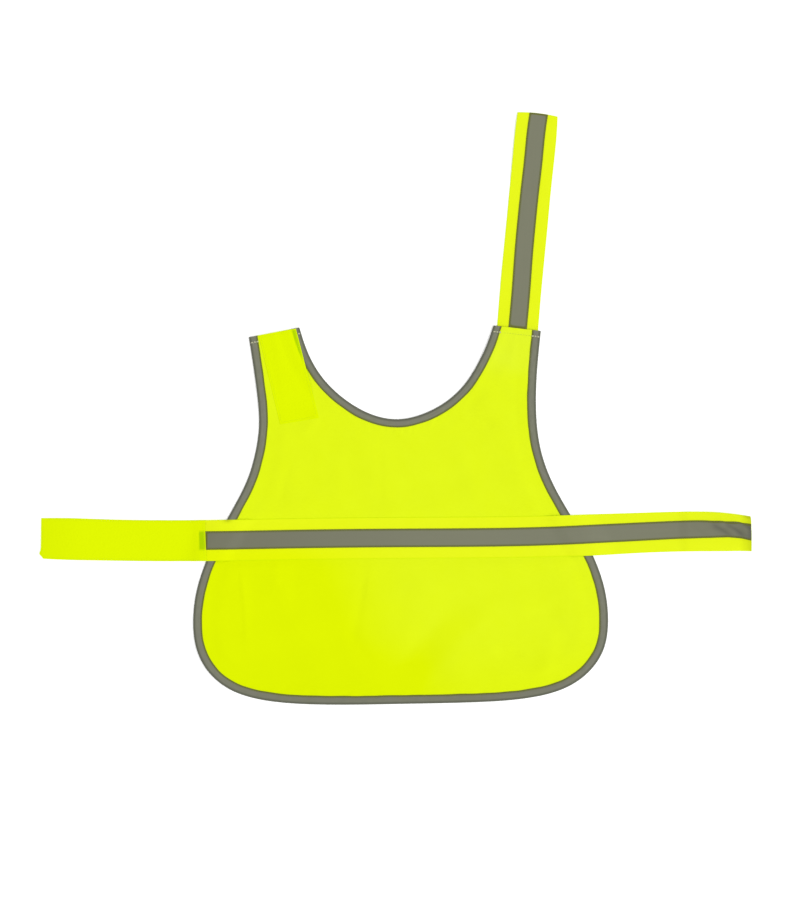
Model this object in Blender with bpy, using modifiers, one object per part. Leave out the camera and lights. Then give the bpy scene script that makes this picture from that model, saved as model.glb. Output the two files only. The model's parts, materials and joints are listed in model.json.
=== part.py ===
"""A dog's high-visibility vest, laid flat on a table with its outer face up.

X runs along the girth belt, Y from the hem to the neck and Z up from the table. The origin is on the
table, in the middle of the vest's footprint. Sizes are in millimetres and become metres in the meshes.

Every piece is a sheet: its under surface is worked out from the cut and from what it lies on, and a
Solidify modifier gives it a wall. Where two pieces cross, the upper one climbs over the lower one.
"""

from collections import namedtuple

import bmesh
import bpy
import numpy as np

MM = 0.001

WALL = 1.0  # each layer of cloth or tape
GAP = 0.3  # between two layers that touch
LAYER = WALL + GAP

BINDING_SHOWS = {"edge_binding": 10.6, "neck_binding": 10.0}  # the folded tape, as seen on the outer face
BINDING_CENTRE = LAYER + WALL / 2  # the height half way between its two leaves
FOLD_BENDS = 4

LONGEST_STEP = 28.0  # between two places along the bound edges
MOST_TURN = 9.0  # degrees
CLIMB_STEP = 7.0  # the same where the right tab climbs over the strap
TAB_CLIMB = 62.0
TAB_END_TURN = 30.0  # the stretch of edge next to a tab's cut end that turns to meet it

PANEL_ROWS = (2.0, 11.7, 14.9, 18.1, 21.7)  # in from the outline: the cut edge, then rows of points
PANEL_RISE_ENDS = (11.7, 21.5)  # in from the outline: raised up to here, flat on the table from here
UPPER_RISE_ENDS = (13.0, 25.0)  # the same, for what lies over the panel and its binding
UPPER_FALL_ENDS = (1.5, 25.0)  # out from the outline: still raised, down on the table
NECK_OVERLAP_ENDS = (11.9, 19.9)  # the shoulder patch's step over the neck binding

TAB_RISE_ENDS = (26.0, 54.0)  # down from that shoulder's end: raised up to here, flat from here
TAB_RISE_CUTS = (25.0, 31.0, 36.0, 40.0, 44.0, 49.0, 55.0)
RIGHT_TAB = (60.0, 0.0)  # the right tab lies to the right of this x and above this y

BELT_HOOK_START = 356.0  # the hidden hook patches, from here to each band's free end
STRAP_HOOK_START = 282.0
HOOK_STEP = 14.0  # the length in which a band comes down off its hook patch
BELT_TAPE_START = -239.4  # the tape's left end, tucked under the belt's loop patch
LOOP_PATCH_END = -230.8
LOOP_STEP = 10.0  # the length in which the loop patch climbs over the tape's end

# The outer edge of the bound outline, anticlockwise as seen from above.
Corner = namedtuple("Corner", "place x y")
OUTER_EDGE = [
    Corner("left shoulder", -178.5, 85.6),
    Corner("left armhole", -172.3, 45.8),
    Corner("left armhole", -167.6, 9.4),
    Corner("left waist", -166.1, -20.9),
    Corner("left side", -169.9, -51.3),
    Corner("left side", -180.5, -87.7),
    Corner("left side", -198.7, -124.1),
    Corner("left skirt", -234.3, -196.9),
    Corner("left skirt", -241.6, -221.2),
    Corner("left skirt", -246.0, -257.6),
    Corner("left hem corner", -241.5, -294.0),
    Corner("left hem corner", -229.1, -318.3),
    Corner("left hem corner", -200.1, -342.5),
    Corner("left hem corner", -173.9, -352.0),
    Corner("hem", -143.4, -357.2),
    Corner("hem", -92.2, -360.1),
    Corner("hem", 4.9, -359.4),
    Corner("hem", 101.9, -357.0),
    Corner("right hem corner", 161.0, -352.0),
    Corner("right hem corner", 199.4, -342.5),
    Corner("right hem corner", 222.2, -330.4),
    Corner("right hem corner", 251.5, -294.0),
    Corner("right skirt", 257.3, -257.6),
    Corner("right skirt", 253.4, -221.2),
    Corner("right skirt", 241.4, -184.8),
    Corner("right side", 208.1, -124.1),
    Corner("right side", 188.4, -87.7),
    Corner("right side", 175.7, -51.3),
    Corner("right waist", 170.5, -14.9),
    Corner("right armhole", 170.0, 21.5),
    Corner("right armhole", 172.2, 57.9),
    Corner("right shoulder", 175.7, 93.1),
]
NECK_EDGE = [
    Corner("right shoulder", 118.3, 99.8),
    Corner("right of the scoop", 110.6, 77.4),
    Corner("right of the scoop", 101.6, 57.9),
    Corner("right of the scoop", 87.3, 33.7),
    Corner("right of the scoop", 63.6, 9.4),
    Corner("foot of the scoop", 42.0, -3.6),
    Corner("foot of the scoop", -0.6, -14.0),
    Corner("foot of the scoop", -40.6, -3.2),
    Corner("left of the scoop", -60.9, 9.4),
    Corner("left of the scoop", -86.9, 33.7),
    Corner("left of the scoop", -102.7, 57.9),
    Corner("left of the scoop", -110.9, 77.4),
    Corner("left shoulder", -117.2, 97.4),
]
# The middle of each band's reflective tape, with the band's edges and the tape's half width from it.
# The right end of the belt curls: its crown stands off the table and its edges draw in.
Station = namedtuple("Station", "x y right left tape crown")
BELT = [
    Station(-430.8, -158.7, 24.6, 24.8, 11.2, 0.0),
    Station(-400.5, -159.2, 25.4, 25.3, 11.2, 0.0),
    Station(-359.2, -160.3, 25.1, 25.1, 11.2, 0.0),
    Station(-310.7, -161.2, 24.9, 24.9, 11.2, 0.0),
    Station(-233.0, -161.2, 24.9, 24.9, 11.2, 0.0),
    Station(-116.5, -159.3, 25.0, 25.0, 11.2, 0.0),
    Station(4.9, -158.0, 25.0, 25.0, 11.2, 0.0),
    Station(126.2, -157.1, 25.0, 25.0, 11.2, 0.0),
    Station(186.9, -155.6, 25.3, 24.6, 11.2, 0.0),
    Station(247.6, -152.8, 26.1, 23.8, 11.2, 0.0),
    Station(296.1, -150.4, 25.8, 22.9, 11.1, 0.0),
    Station(344.7, -148.1, 26.4, 21.9, 10.9, 0.4),
    Station(368.9, -147.4, 26.6, 21.1, 10.6, 1.8),
    Station(393.2, -147.4, 26.3, 19.7, 9.6, 4.6),
    Station(417.5, -148.7, 24.4, 17.9, 9.0, 8.2),
    Station(430.8, -151.0, 22.4, 17.9, 9.1, 10.2),
]
STRAP = [
    Station(145.8, 76.2, 25.0, 25.0, 11.2, 0.0),
    Station(148.6, 106.5, 24.8, 25.3, 11.2, 0.0),
    Station(152.0, 145.3, 24.7, 25.6, 11.2, 0.0),
    Station(154.8, 184.2, 25.6, 24.7, 11.2, 0.0),
    Station(158.3, 223.0, 25.9, 24.4, 11.2, 0.0),
    Station(162.3, 261.8, 25.5, 24.7, 11.2, 0.0),
    Station(166.7, 300.7, 25.2, 25.4, 11.2, 0.0),
    Station(170.7, 339.5, 24.8, 25.6, 11.2, 0.0),
    Station(173.3, 357.1, 23.0, 26.0, 11.2, 0.0),
]
# Where each stretch of a band's rows of points starts, in x or y, and how far apart they are: close
# over the bound edges, the hook patches and the curl.
Span = namedtuple("Span", "start step")
BELT_SPANS = [
    Span(BELT[0].x, 26.0),
    Span(-270.0, 6.0),
    Span(BELT_TAPE_START, 7.1),
    Span(LOOP_PATCH_END, 6.0),
    Span(-160.0, 32.0),
    Span(170.0, 6.0),
    Span(272.0, 18.0),
    Span(BELT_HOOK_START - HOOK_STEP, 7.0),
    Span(BELT_HOOK_START, 8.0),
    Span(BELT[-1].x, 8.0),
]
STRAP_SPANS = [
    Span(STRAP[0].y, 28.0),
    Span(STRAP_HOOK_START - HOOK_STEP, 7.0),
    Span(STRAP_HOOK_START, 19.0),
    Span(STRAP[-1].y, 19.0),
]
SAME = 0.01  # two places this close are one
# The way from a band's right edge to its left, parallel to its cut ends.
BELT_LEFTWARD = np.array([-0.035, 1.0])
STRAP_LEFTWARD = np.array([-0.993, 0.118])
# Across a band, from its right edge to its left as the tape runs. Side says which edge a place is
# measured towards, and reach how far: 0 to 1 is on the tape and 1 to 2 is from the tape to the edge.
Across = namedtuple("Across", "side reach height")
ACROSS = [
    Across("right", 2.0, 0.0),
    Across("right", 1.5, 0.38),
    Across("right", 1.0, 0.70),
    Across("right", 0.5, 0.91),
    Across("left", 0.0, 1.0),
    Across("left", 0.5, 0.98),
    Across("left", 1.0, 0.84),
    Across("left", 1.5, 0.50),
    Across("left", 2.0, 0.0),
]
TAPE_COLUMNS = slice(2, 7)
TAPE_MIDDLE = 4

SHOULDER_PATCH = [
    Corner("top left", -166.4, 87.4),
    Corner("top right", -121.4, 96.0),
    Corner("bottom left", -140.6, -20.2),
    Corner("bottom right", -93.4, -12.4),
]

PATCH_ROWS, PATCH_COLUMNS = 15, 8

Finish = namedtuple("Finish", "colour roughness")
YELLOW_CLOTH = Finish((0.77, 0.93, 0.01), 0.75)
YELLOW_STRAP = Finish((0.79, 0.95, 0.01), 0.75)
YELLOW_LOOP = Finish((0.73, 0.92, 0.0), 0.95)
GREY_TAPE = Finish((0.21, 0.21, 0.16), 0.45)
GREY_BINDING = Finish((0.22, 0.22, 0.17), 0.6)


# Curves and heights ---------------------------------------------------------------------------------


def natural_cubic(knots, values, at):
    """The smoothest curve through the values: one linear system gives its bend at each knot."""
    gap = np.diff(knots)
    slope = np.diff(values, axis=0) / gap[:, None]
    system = np.eye(len(knots))
    change = np.zeros_like(values)
    for i in range(1, len(knots) - 1):
        system[i, i - 1 : i + 2] = gap[i - 1], 2 * (gap[i - 1] + gap[i]), gap[i]
        change[i] = 6 * (slope[i] - slope[i - 1])
    bend = np.linalg.solve(system, change)
    i = np.clip(np.searchsorted(knots, at) - 1, 0, len(gap) - 1)
    width = gap[i][:, None]
    a = (knots[i + 1] - at)[:, None] / width
    b = 1 - a
    curve = a * values[i] + b * values[i + 1]
    return curve + ((a**3 - a) * bend[i] + (b**3 - b) * bend[i + 1]) * width**2 / 6


def chord_lengths(points):
    return np.concatenate([[0], np.cumsum(np.linalg.norm(np.diff(points, axis=0), axis=1))])


def directions(points):
    """Unit tangents along a row of points in the plane, and their left-hand normals."""
    tangent = np.gradient(points, axis=0)
    tangent /= np.linalg.norm(tangent, axis=1, keepdims=True)
    return tangent, np.stack([-tangent[:, 1], tangent[:, 0]], axis=1)


def smooth_step(value, start, end):
    """0 up to start, 1 from end, and level at both."""
    t = np.clip((value - start) / (end - start), 0, 1)
    return t * t * (3 - 2 * t)


def drawn_edge(corners, step=1.5):
    """The corners' smooth curve, in short even steps."""
    points = np.array([(corner.x, corner.y) for corner in corners])
    knots = chord_lengths(points)
    return natural_cubic(knots, points, np.linspace(0, knots[-1], int(knots[-1] / step)))


OUTER_CURVE = drawn_edge(OUTER_EDGE)
NECK_CURVE = drawn_edge(NECK_EDGE)


def distance_inside(points, curve):
    """How far each point lies to the left of a curve that goes round the cloth, negative outside."""
    flat = points.reshape(-1, 2)
    offset = flat[:, None] - curve[None]
    nearest = (offset**2).sum(axis=2).argmin(axis=1)
    _, normal = directions(curve)
    apart = offset[np.arange(len(flat)), nearest]
    side = np.sign((apart * normal[nearest]).sum(axis=1))
    return (side * np.linalg.norm(apart, axis=1)).reshape(points.shape[:-1])


def toward(start, end):
    return (end - start) / np.linalg.norm(end - start)


# Along the cut end of each shoulder tab, away from the armhole, and down the right tab from its end.
LEFT_END = toward(OUTER_CURVE[0], NECK_CURVE[-1])
RIGHT_END = toward(OUTER_CURVE[-1], NECK_CURVE[0])
DOWN_RIGHT_TAB = np.array([-RIGHT_END[1], RIGHT_END[0]])


def shoulder_rise(points):
    """The right tab lies over the end of the strap and its tape, and comes down off them."""
    on_tab = (points[..., 0] > RIGHT_TAB[0]) & (points[..., 1] > RIGHT_TAB[1])
    off = smooth_step((points - OUTER_CURVE[-1]) @ DOWN_RIGHT_TAB, *TAB_RISE_ENDS)
    return np.where(on_tab, 2 * LAYER * (1 - off), 0)


def panel_rise(points):
    """The panel's under surface: on the binding's lower leaf at the edge, on the table inside."""
    inside = np.minimum(distance_inside(points, OUTER_CURVE), distance_inside(points, NECK_CURVE))
    return LAYER * (1 - smooth_step(inside, *PANEL_RISE_ENDS)) + shoulder_rise(points)


def belt_rise(points):
    """The belt's under surface: over the panel, higher over its binding, then down to the table."""
    inside = distance_inside(points, OUTER_CURVE)
    over_panel = LAYER + 2 * LAYER * (1 - smooth_step(inside, *UPPER_RISE_ENDS))
    beside = 3 * LAYER * (1 - smooth_step(-inside, *UPPER_FALL_ENDS))
    return np.where(inside > 0, over_panel, beside)


def shoulder_patch_rise(points):
    """The left shoulder's patch lies on the panel and climbs the neck binding's upper leaf."""
    over_neck = 1 - smooth_step(distance_inside(points, NECK_CURVE), *NECK_OVERLAP_ENDS)
    return panel_rise(points) + LAYER * (1 + over_neck)


# Meshes ---------------------------------------------------------------------------------------------


def material(name, finish):
    made = bpy.data.materials.new(name)
    made.use_nodes = True
    shader = made.node_tree.nodes["Principled BSDF"]
    shader.inputs["Base Color"].default_value = (*finish.colour, 1)
    shader.inputs["Roughness"].default_value = finish.roughness
    shader.inputs["Metallic"].default_value = 0
    return made


def add_wall(mesh, name, finish, side=1):
    """An object of the sheet with a wall on its upper side, or through its middle with side 0."""
    sheet = bpy.data.objects.new(name, mesh)
    bpy.data.collections["dog_safety_vest"].objects.link(sheet)
    mesh.materials.append(material(name, finish))
    wall = sheet.modifiers.new("wall", "SOLIDIFY")
    wall.thickness = WALL * MM
    wall.offset = side
    wall.use_even_offset = side == 0
    return sheet


def grid_mesh(name, points):
    """Faces between the rows and columns of a grid of points. They face up if rows run along X."""
    rows, columns = points.shape[:2]
    index = np.arange(rows * columns).reshape(rows, columns)
    corners = (index[:-1, :-1], index[1:, :-1], index[1:, 1:], index[:-1, 1:])
    mesh = bpy.data.meshes.new(name)
    mesh.from_pydata((points.reshape(-1, 3) * MM).tolist(), [], np.stack(corners, -1).reshape(-1, 4).tolist())
    return mesh


def moved_out(points, distance):
    """The grid moved along its own normals: what lies on a sheet is made from the sheet's points."""
    normal = np.cross(np.gradient(points, axis=0), np.gradient(points, axis=1))
    normal /= np.linalg.norm(normal, axis=2, keepdims=True)
    return points + normal * np.broadcast_to(distance, points.shape[:2])[..., None]


# The bound panel ------------------------------------------------------------------------------------


def ways_in(run, normal, start_way, end_way):
    """The way in from each place on an edge: square to it, but along the tab's cut end next to that."""
    from_start = smooth_step(run, 0, TAB_END_TURN)[:, None]
    from_end = smooth_step(run[-1] - run, 0, TAB_END_TURN)[:, None]
    way = start_way + (normal - start_way) * from_start
    way = end_way + (way - end_way) * from_end
    return way / (way * normal).sum(axis=1, keepdims=True)


def stations(curve, start_way, end_way, near_start=0.0, near_end=0.0):
    """Places along a curve and the way in from each, closer where it bends or the tab climbs.

    Each stretch costs its length over the longest step plus its bend over the allowed turn, and the
    places are one unit of cost apart.
    """
    tangent, normal = directions(curve)
    step = np.linalg.norm(np.diff(curve, axis=0), axis=1)
    bend = np.degrees(np.linalg.norm(np.diff(tangent, axis=0), axis=1))
    run = chord_lengths(curve)
    middle = (run[1:] + run[:-1]) / 2
    climbing = (middle < near_start) | (middle > run[-1] - near_end)
    cost = step / LONGEST_STEP + bend / MOST_TURN + climbing * step / CLIMB_STEP
    cost = np.concatenate([[0], np.cumsum(cost)])
    picked = np.interp(np.linspace(0, cost[-1], int(cost[-1]) + 1), cost, np.arange(len(curve)))
    picked = np.round(picked).astype(int)
    return curve[picked], ways_in(run, normal, start_way, end_way)[picked]


OUTER_STATIONS = stations(OUTER_CURVE, LEFT_END, RIGHT_END, near_end=TAB_CLIMB)
NECK_STATIONS = stations(NECK_CURVE, -RIGHT_END, -LEFT_END, near_start=TAB_CLIMB)


def folded_section(shows):
    """The middle of the folded tape's wall, as (distance in from the outer edge, height)."""
    radius = BINDING_CENTRE - WALL / 2
    turn = np.linspace(-np.pi / 2, -3 * np.pi / 2, FOLD_BENDS + 1)
    fold = np.stack([BINDING_CENTRE + radius * np.cos(turn), BINDING_CENTRE + radius * np.sin(turn)], axis=1)
    leaf_ends = np.array([[shows, BINDING_CENTRE - radius], [shows, BINDING_CENTRE + radius]])
    return np.vstack([leaf_ends[0], fold, leaf_ends[1]])


def binding(name, picked, inward):
    """Tape folded over the edge: its section carried along the stations of the bound outline."""
    section = folded_section(BINDING_SHOWS[name])
    level = picked[:, None] + inward[:, None] * section[:, 0][None, :, None]
    height = section[:, 1] + shoulder_rise(level)
    points = np.concatenate([level, height[..., None]], axis=2)
    return add_wall(grid_mesh(name, points), name, GREY_BINDING, side=0)


def cut_across_tab(cut, distance):
    """A row of points across the right tab, at a distance below its sewn end."""
    point = (OUTER_CURVE[-1] + DOWN_RIGHT_TAB * distance) * MM
    tab = [face for face in cut.faces if min(vert.co.x for vert in face.verts) > -MM]
    pieces = {part for face in tab for part in (face, *face.verts, *face.edges)}
    bmesh.ops.bisect_plane(cut, geom=list(pieces), plane_co=(*point, 0), plane_no=(*DOWN_RIGHT_TAB, 0))


def body_panel():
    """The cut panel: rows of faces inside each bound edge, one face in the middle, then its height."""
    cut = bmesh.new()
    middle = []
    for places, way_in in (OUTER_STATIONS, NECK_STATIONS):
        level = places[:, None] + way_in[:, None] * np.array(PANEL_ROWS)[:, None]
        rows = [[cut.verts.new((x * MM, y * MM, 0)) for x, y in row] for row in level]
        for row, following in zip(rows, rows[1:]):
            for corners in zip(row, following, following[1:], row[1:]):
                cut.faces.new(corners)
        middle.extend(row[-1] for row in rows)
    cut.faces.new(middle)
    everything = [*cut.verts, *cut.edges, *cut.faces]
    bmesh.ops.bisect_plane(cut, geom=everything, plane_co=(0, 0, 0), plane_no=(1, 0, 0))
    for distance in TAB_RISE_CUTS:
        cut_across_tab(cut, distance)
    level = np.array([vert.co.xy for vert in cut.verts]) / MM
    for vert, height in zip(cut.verts, panel_rise(level)):
        vert.co.z = height * MM
    mesh = bpy.data.meshes.new("body_panel")
    cut.to_mesh(mesh)
    cut.free()
    return add_wall(mesh, "body_panel", YELLOW_CLOTH)


def shoulder_loop_patch():
    top_left, top_right, bottom_left, bottom_right = (np.array([c.x, c.y]) for c in SHOULDER_PATCH)
    down = np.linspace(0, 1, PATCH_ROWS)[:, None, None]
    across = np.linspace(0, 1, PATCH_COLUMNS)[None, :, None]
    left = top_left + (bottom_left - top_left) * down
    right = top_right + (bottom_right - top_right) * down
    level = left + (right - left) * across
    points = np.concatenate([level, shoulder_patch_rise(level)[..., None]], axis=2)
    return add_wall(grid_mesh("shoulder_loop_patch", points), "shoulder_loop_patch", YELLOW_LOOP)


# The belt and the neck strap ------------------------------------------------------------------------


def band_grid(rows, places, leftward, rise):
    """A band's lowest sheet: a grid of the given places along it by the table of places across it."""
    table = np.array(rows)
    knots = chord_lengths(table[:, :2])
    values = natural_cubic(knots, table, places)
    right, left, tape, crown = values[:, 2:].T
    across = []
    for place in ACROSS:
        edge, sign = (right, -1) if place.side == "right" else (left, 1)
        on_tape, beyond = min(place.reach, 1), max(place.reach - 1, 0)
        across.append(sign * (tape * on_tape + (edge - tape) * beyond))
    level = values[:, None, :2] + np.stack(across, axis=1)[..., None] * leftward
    height = crown.clip(0)[:, None] * np.array([place.height for place in ACROSS]) + rise(level)
    return np.concatenate([level, height[..., None]], axis=2)


def distances_along(rows, axis, spans):
    """Distances along a band where x or y takes evenly spaced values, span after span."""
    wanted = []
    for span, following in zip(spans, spans[1:]):
        count = max(round((following.start - span.start) / span.step), 1)
        wanted.extend(np.linspace(span.start, following.start, count, endpoint=False))
    table = np.array(rows)
    return np.interp([*wanted, spans[-1].start], table[:, axis], chord_lengths(table[:, :2]))


def belt():
    """The belt with its tape, its loop patch at the left and its hook patch at the right."""
    ground = band_grid(BELT, distances_along(BELT, 0, BELT_SPANS), BELT_LEFTWARD, belt_rise)
    x = ground[:, TAPE_MIDDLE, 0]
    over_hook = LAYER * smooth_step(x, BELT_HOOK_START - HOOK_STEP, BELT_HOOK_START)[:, None]
    over_tape = LAYER * smooth_step(x, BELT_TAPE_START - LOOP_STEP, BELT_TAPE_START)[:, None]
    tape = moved_out(ground, over_hook + LAYER)[x >= BELT_TAPE_START - SAME, TAPE_COLUMNS]
    loop = moved_out(ground, over_hook + LAYER + over_tape)[x <= LOOP_PATCH_END + SAME]
    add_wall(grid_mesh("girth_belt", moved_out(ground, over_hook)), "girth_belt", YELLOW_STRAP)
    add_wall(grid_mesh("belt_reflector", tape), "belt_reflector", GREY_TAPE)
    add_wall(grid_mesh("belt_loop_patch", loop), "belt_loop_patch", YELLOW_LOOP)
    hook = ground[x >= BELT_HOOK_START - SAME]
    add_wall(grid_mesh("belt_hook_patch", hook), "belt_hook_patch", YELLOW_LOOP)


def on_the_table(level):
    return np.zeros(level.shape[:-1])


def neck_strap():
    """The strap with its tape and its hook patch, its lower end under the right shoulder tab."""
    ground = band_grid(STRAP, distances_along(STRAP, 1, STRAP_SPANS), STRAP_LEFTWARD, on_the_table)
    y = ground[:, TAPE_MIDDLE, 1]
    over_hook = LAYER * smooth_step(y, STRAP_HOOK_START - HOOK_STEP, STRAP_HOOK_START)[:, None]
    tape = moved_out(ground, over_hook + LAYER)[:, TAPE_COLUMNS]
    add_wall(grid_mesh("neck_strap", moved_out(ground, over_hook)), "neck_strap", YELLOW_STRAP)
    add_wall(grid_mesh("strap_reflector", tape), "strap_reflector", GREY_TAPE)
    hook = ground[y >= STRAP_HOOK_START - SAME]
    add_wall(grid_mesh("strap_hook_patch", hook), "strap_hook_patch", YELLOW_LOOP)


def main():
    for thing in list(bpy.data.objects):
        bpy.data.objects.remove(thing)
    vest = bpy.data.collections.new("dog_safety_vest")
    bpy.context.scene.collection.children.link(vest)
    body_panel()
    binding("edge_binding", *OUTER_STATIONS)
    binding("neck_binding", *NECK_STATIONS)
    shoulder_loop_patch()
    neck_strap()
    belt()


main()
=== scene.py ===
"""Looks of a dog's high-visibility vest laid flat: fluorescent cloth, grey bindings, reflective tape.

X runs along the girth belt, Y from the hem to the neck and Z up from the table. The cut is given in
millimetres, which become metres in the meshes. Each piece of cloth is a thin sheet on the form of the
solid that it stands for: the same cut and the same climbs of one layer over another, in finer steps,
with the creases, stitches and naps that the solids leave out.
"""

import json
from collections import namedtuple

import bpy
import numpy as np
from bpy.props import FloatProperty, FloatVectorProperty, PointerProperty
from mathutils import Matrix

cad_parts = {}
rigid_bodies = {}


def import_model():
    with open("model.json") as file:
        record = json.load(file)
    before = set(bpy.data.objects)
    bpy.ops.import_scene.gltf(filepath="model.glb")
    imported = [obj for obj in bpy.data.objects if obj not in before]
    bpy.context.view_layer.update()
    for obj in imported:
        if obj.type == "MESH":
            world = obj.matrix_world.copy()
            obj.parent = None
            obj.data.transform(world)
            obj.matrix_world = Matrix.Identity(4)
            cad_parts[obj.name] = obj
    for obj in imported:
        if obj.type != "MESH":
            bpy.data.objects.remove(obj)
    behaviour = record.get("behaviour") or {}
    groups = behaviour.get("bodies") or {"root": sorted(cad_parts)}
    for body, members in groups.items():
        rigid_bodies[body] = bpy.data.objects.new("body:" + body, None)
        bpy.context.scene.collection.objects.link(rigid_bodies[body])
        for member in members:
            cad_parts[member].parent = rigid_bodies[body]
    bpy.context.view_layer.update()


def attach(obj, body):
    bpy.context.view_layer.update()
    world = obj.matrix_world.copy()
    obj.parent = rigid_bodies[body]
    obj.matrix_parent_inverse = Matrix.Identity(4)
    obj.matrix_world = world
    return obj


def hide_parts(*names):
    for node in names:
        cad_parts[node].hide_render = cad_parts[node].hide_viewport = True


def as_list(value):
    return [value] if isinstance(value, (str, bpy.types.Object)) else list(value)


bl_info = {
    "name": "Laid-out dog safety vest",
    "version": (1, 0, 0),
    "blender": (4, 5, 0),
    "location": "3D View > Sidebar > Safety vest",
    "description": "Makes a dog's safety vest with its girth belt and neck strap, laid flat",
    "category": "Add Mesh",
}

for leftover in list(bpy.data.objects):
    bpy.data.objects.remove(leftover)
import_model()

MM = 0.001

# The cut, in millimetres ----------------------------------------------------------------------------

BINDING_SHOWS = {"edge_tape": 10.6, "neck_tape": 10.0}  # the folded tape, as seen on the outer face
PANEL_EDGE = 2.0  # the panel's cut edge, in from the outer edge of the binding
PANEL_RISE_ENDS = (11.7, 27.0)  # in from the outline: raised up to here, flat on the table from here
UPPER_RISE_ENDS = (12.5, 32.0)  # the same, for what lies over the panel and its binding
UPPER_FALL_ENDS = (1.0, 32.0)  # out from the outline: still raised, down on the table
NECK_OVERLAP_ENDS = (11.5, 29.0)  # the shoulder patch's step over the neck binding
TAB_RISE_ENDS = (26.0, 54.0)  # down from the right shoulder's end: raised up to here, flat from here
TAB_END_TURN = 30.0  # the stretch of edge next to a tab's cut end that turns to meet it
RIGHT_TAB = (60.0, 0.0)  # the right tab lies to the right of this x and above this y

BELT_HOOK_START = 356.0  # the hidden hook patches, from here to each band's free end
STRAP_HOOK_START = 282.0
HOOK_STEP = 14.0  # the length in which a band comes down off its hook patch
END_ROUNDING = 1.5  # how far the corners of the strap's free end are drawn back
END_ROUNDING_REACH = 14.0  # the stretch of the strap that this draws in
HOOK_HEIGHT = 0.6  # how far the hooks stand out of their patch, which lies on them
BELT_TAPE_START = -239.4  # the tape's left end, tucked under the belt's loop patch
LOOP_PATCH_END = -230.8
LOOP_STEP = 10.0  # the length in which the loop patch climbs over the tape's end
TUCK_STARTS = (-0.3, 1.4)  # past the tape's left end, its grey starts to show through the loop patch
TUCK_ENDS = (-1.6, -0.6)  # and before that patch's end it is gone again
TAB_ROW_DOWN = 7.3  # the cream row of stitches, below a tab's cut end
TAB_ROW_SHIFTS = {"binding": (-0.45, 0.45), "cloth": (0.0,)}  # it is sewn to and fro on the bindings
TAB_STITCH = 3.3  # the length of its stitches
TAB_THREADS = {"binding": 1.0, "cloth": 0.6}  # its thick thread, which draws in deeper on the cloth
# Where the row runs on the bindings and on the yellow, from the tab's outer edge.
LEFT_TAB_SPANS = {"binding": ((0.9, 10.7), (58.6, 62.4))}
RIGHT_TAB_SPANS = {"binding": ((0.9, 11.1), (47.8, 59.0)), "cloth": ((11.6, 47.4),)}
BINDING_SEAM = 1.7  # a binding's stitches, in from its cut edge
TAPE_SEAM = 1.6  # a tape's stitches, in from its edge
PATCH_SEAM = 2.4  # a patch's stitches, in from its edge
PILE_THREAD = 0.3  # the thread in the soft pile, most of it sunk
PATCH_WALL = 0.7  # the shoulder patch's wall, as a share of the other cloth's
PATCH_GREY_ENDS = (48.0, 70.0)  # going up that patch: grey starts to show through, and shows in full
TAB_COVERS = 0.6  # the strap's tape shows up from here, above the right tab's cut end
SAME = 0.01  # two places this close are one

# The outer edge of the bound outline, anticlockwise as seen from above.
Corner = namedtuple("Corner", "place x y")
OUTER_EDGE = [
    Corner("left shoulder", -178.5, 85.6),
    Corner("left armhole", -172.3, 45.8),
    Corner("left armhole", -167.6, 9.4),
    Corner("left waist", -166.1, -20.9),
    Corner("left side", -169.9, -51.3),
    Corner("left side", -180.5, -87.7),
    Corner("left side", -198.7, -124.1),
    Corner("left skirt", -234.3, -196.9),
    Corner("left skirt", -241.6, -221.2),
    Corner("left skirt", -246.0, -257.6),
    Corner("left hem corner", -241.5, -294.0),
    Corner("left hem corner", -229.1, -318.3),
    Corner("left hem corner", -200.1, -342.5),
    Corner("left hem corner", -173.9, -352.0),
    Corner("hem", -143.4, -357.2),
    Corner("hem", -92.2, -360.1),
    Corner("hem", 4.9, -359.4),
    Corner("hem", 101.9, -357.0),
    Corner("right hem corner", 161.0, -352.0),
    Corner("right hem corner", 199.4, -342.5),
    Corner("right hem corner", 222.2, -330.4),
    Corner("right hem corner", 251.5, -294.0),
    Corner("right skirt", 257.3, -257.6),
    Corner("right skirt", 253.4, -221.2),
    Corner("right skirt", 241.4, -184.8),
    Corner("right side", 208.1, -124.1),
    Corner("right side", 188.4, -87.7),
    Corner("right side", 175.7, -51.3),
    Corner("right waist", 170.5, -14.9),
    Corner("right armhole", 170.0, 21.5),
    Corner("right armhole", 172.2, 57.9),
    Corner("right shoulder", 175.7, 93.1),
]
NECK_EDGE = [
    Corner("right shoulder", 118.3, 99.8),
    Corner("right of the scoop", 110.6, 77.4),
    Corner("right of the scoop", 101.6, 57.9),
    Corner("right of the scoop", 87.3, 33.7),
    Corner("right of the scoop", 63.6, 9.4),
    Corner("foot of the scoop", 42.0, -3.6),
    Corner("foot of the scoop", -0.6, -14.0),
    Corner("foot of the scoop", -40.6, -3.2),
    Corner("left of the scoop", -60.9, 9.4),
    Corner("left of the scoop", -86.9, 33.7),
    Corner("left of the scoop", -102.7, 57.9),
    Corner("left of the scoop", -110.9, 77.4),
    Corner("left shoulder", -117.2, 97.4),
]
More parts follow.
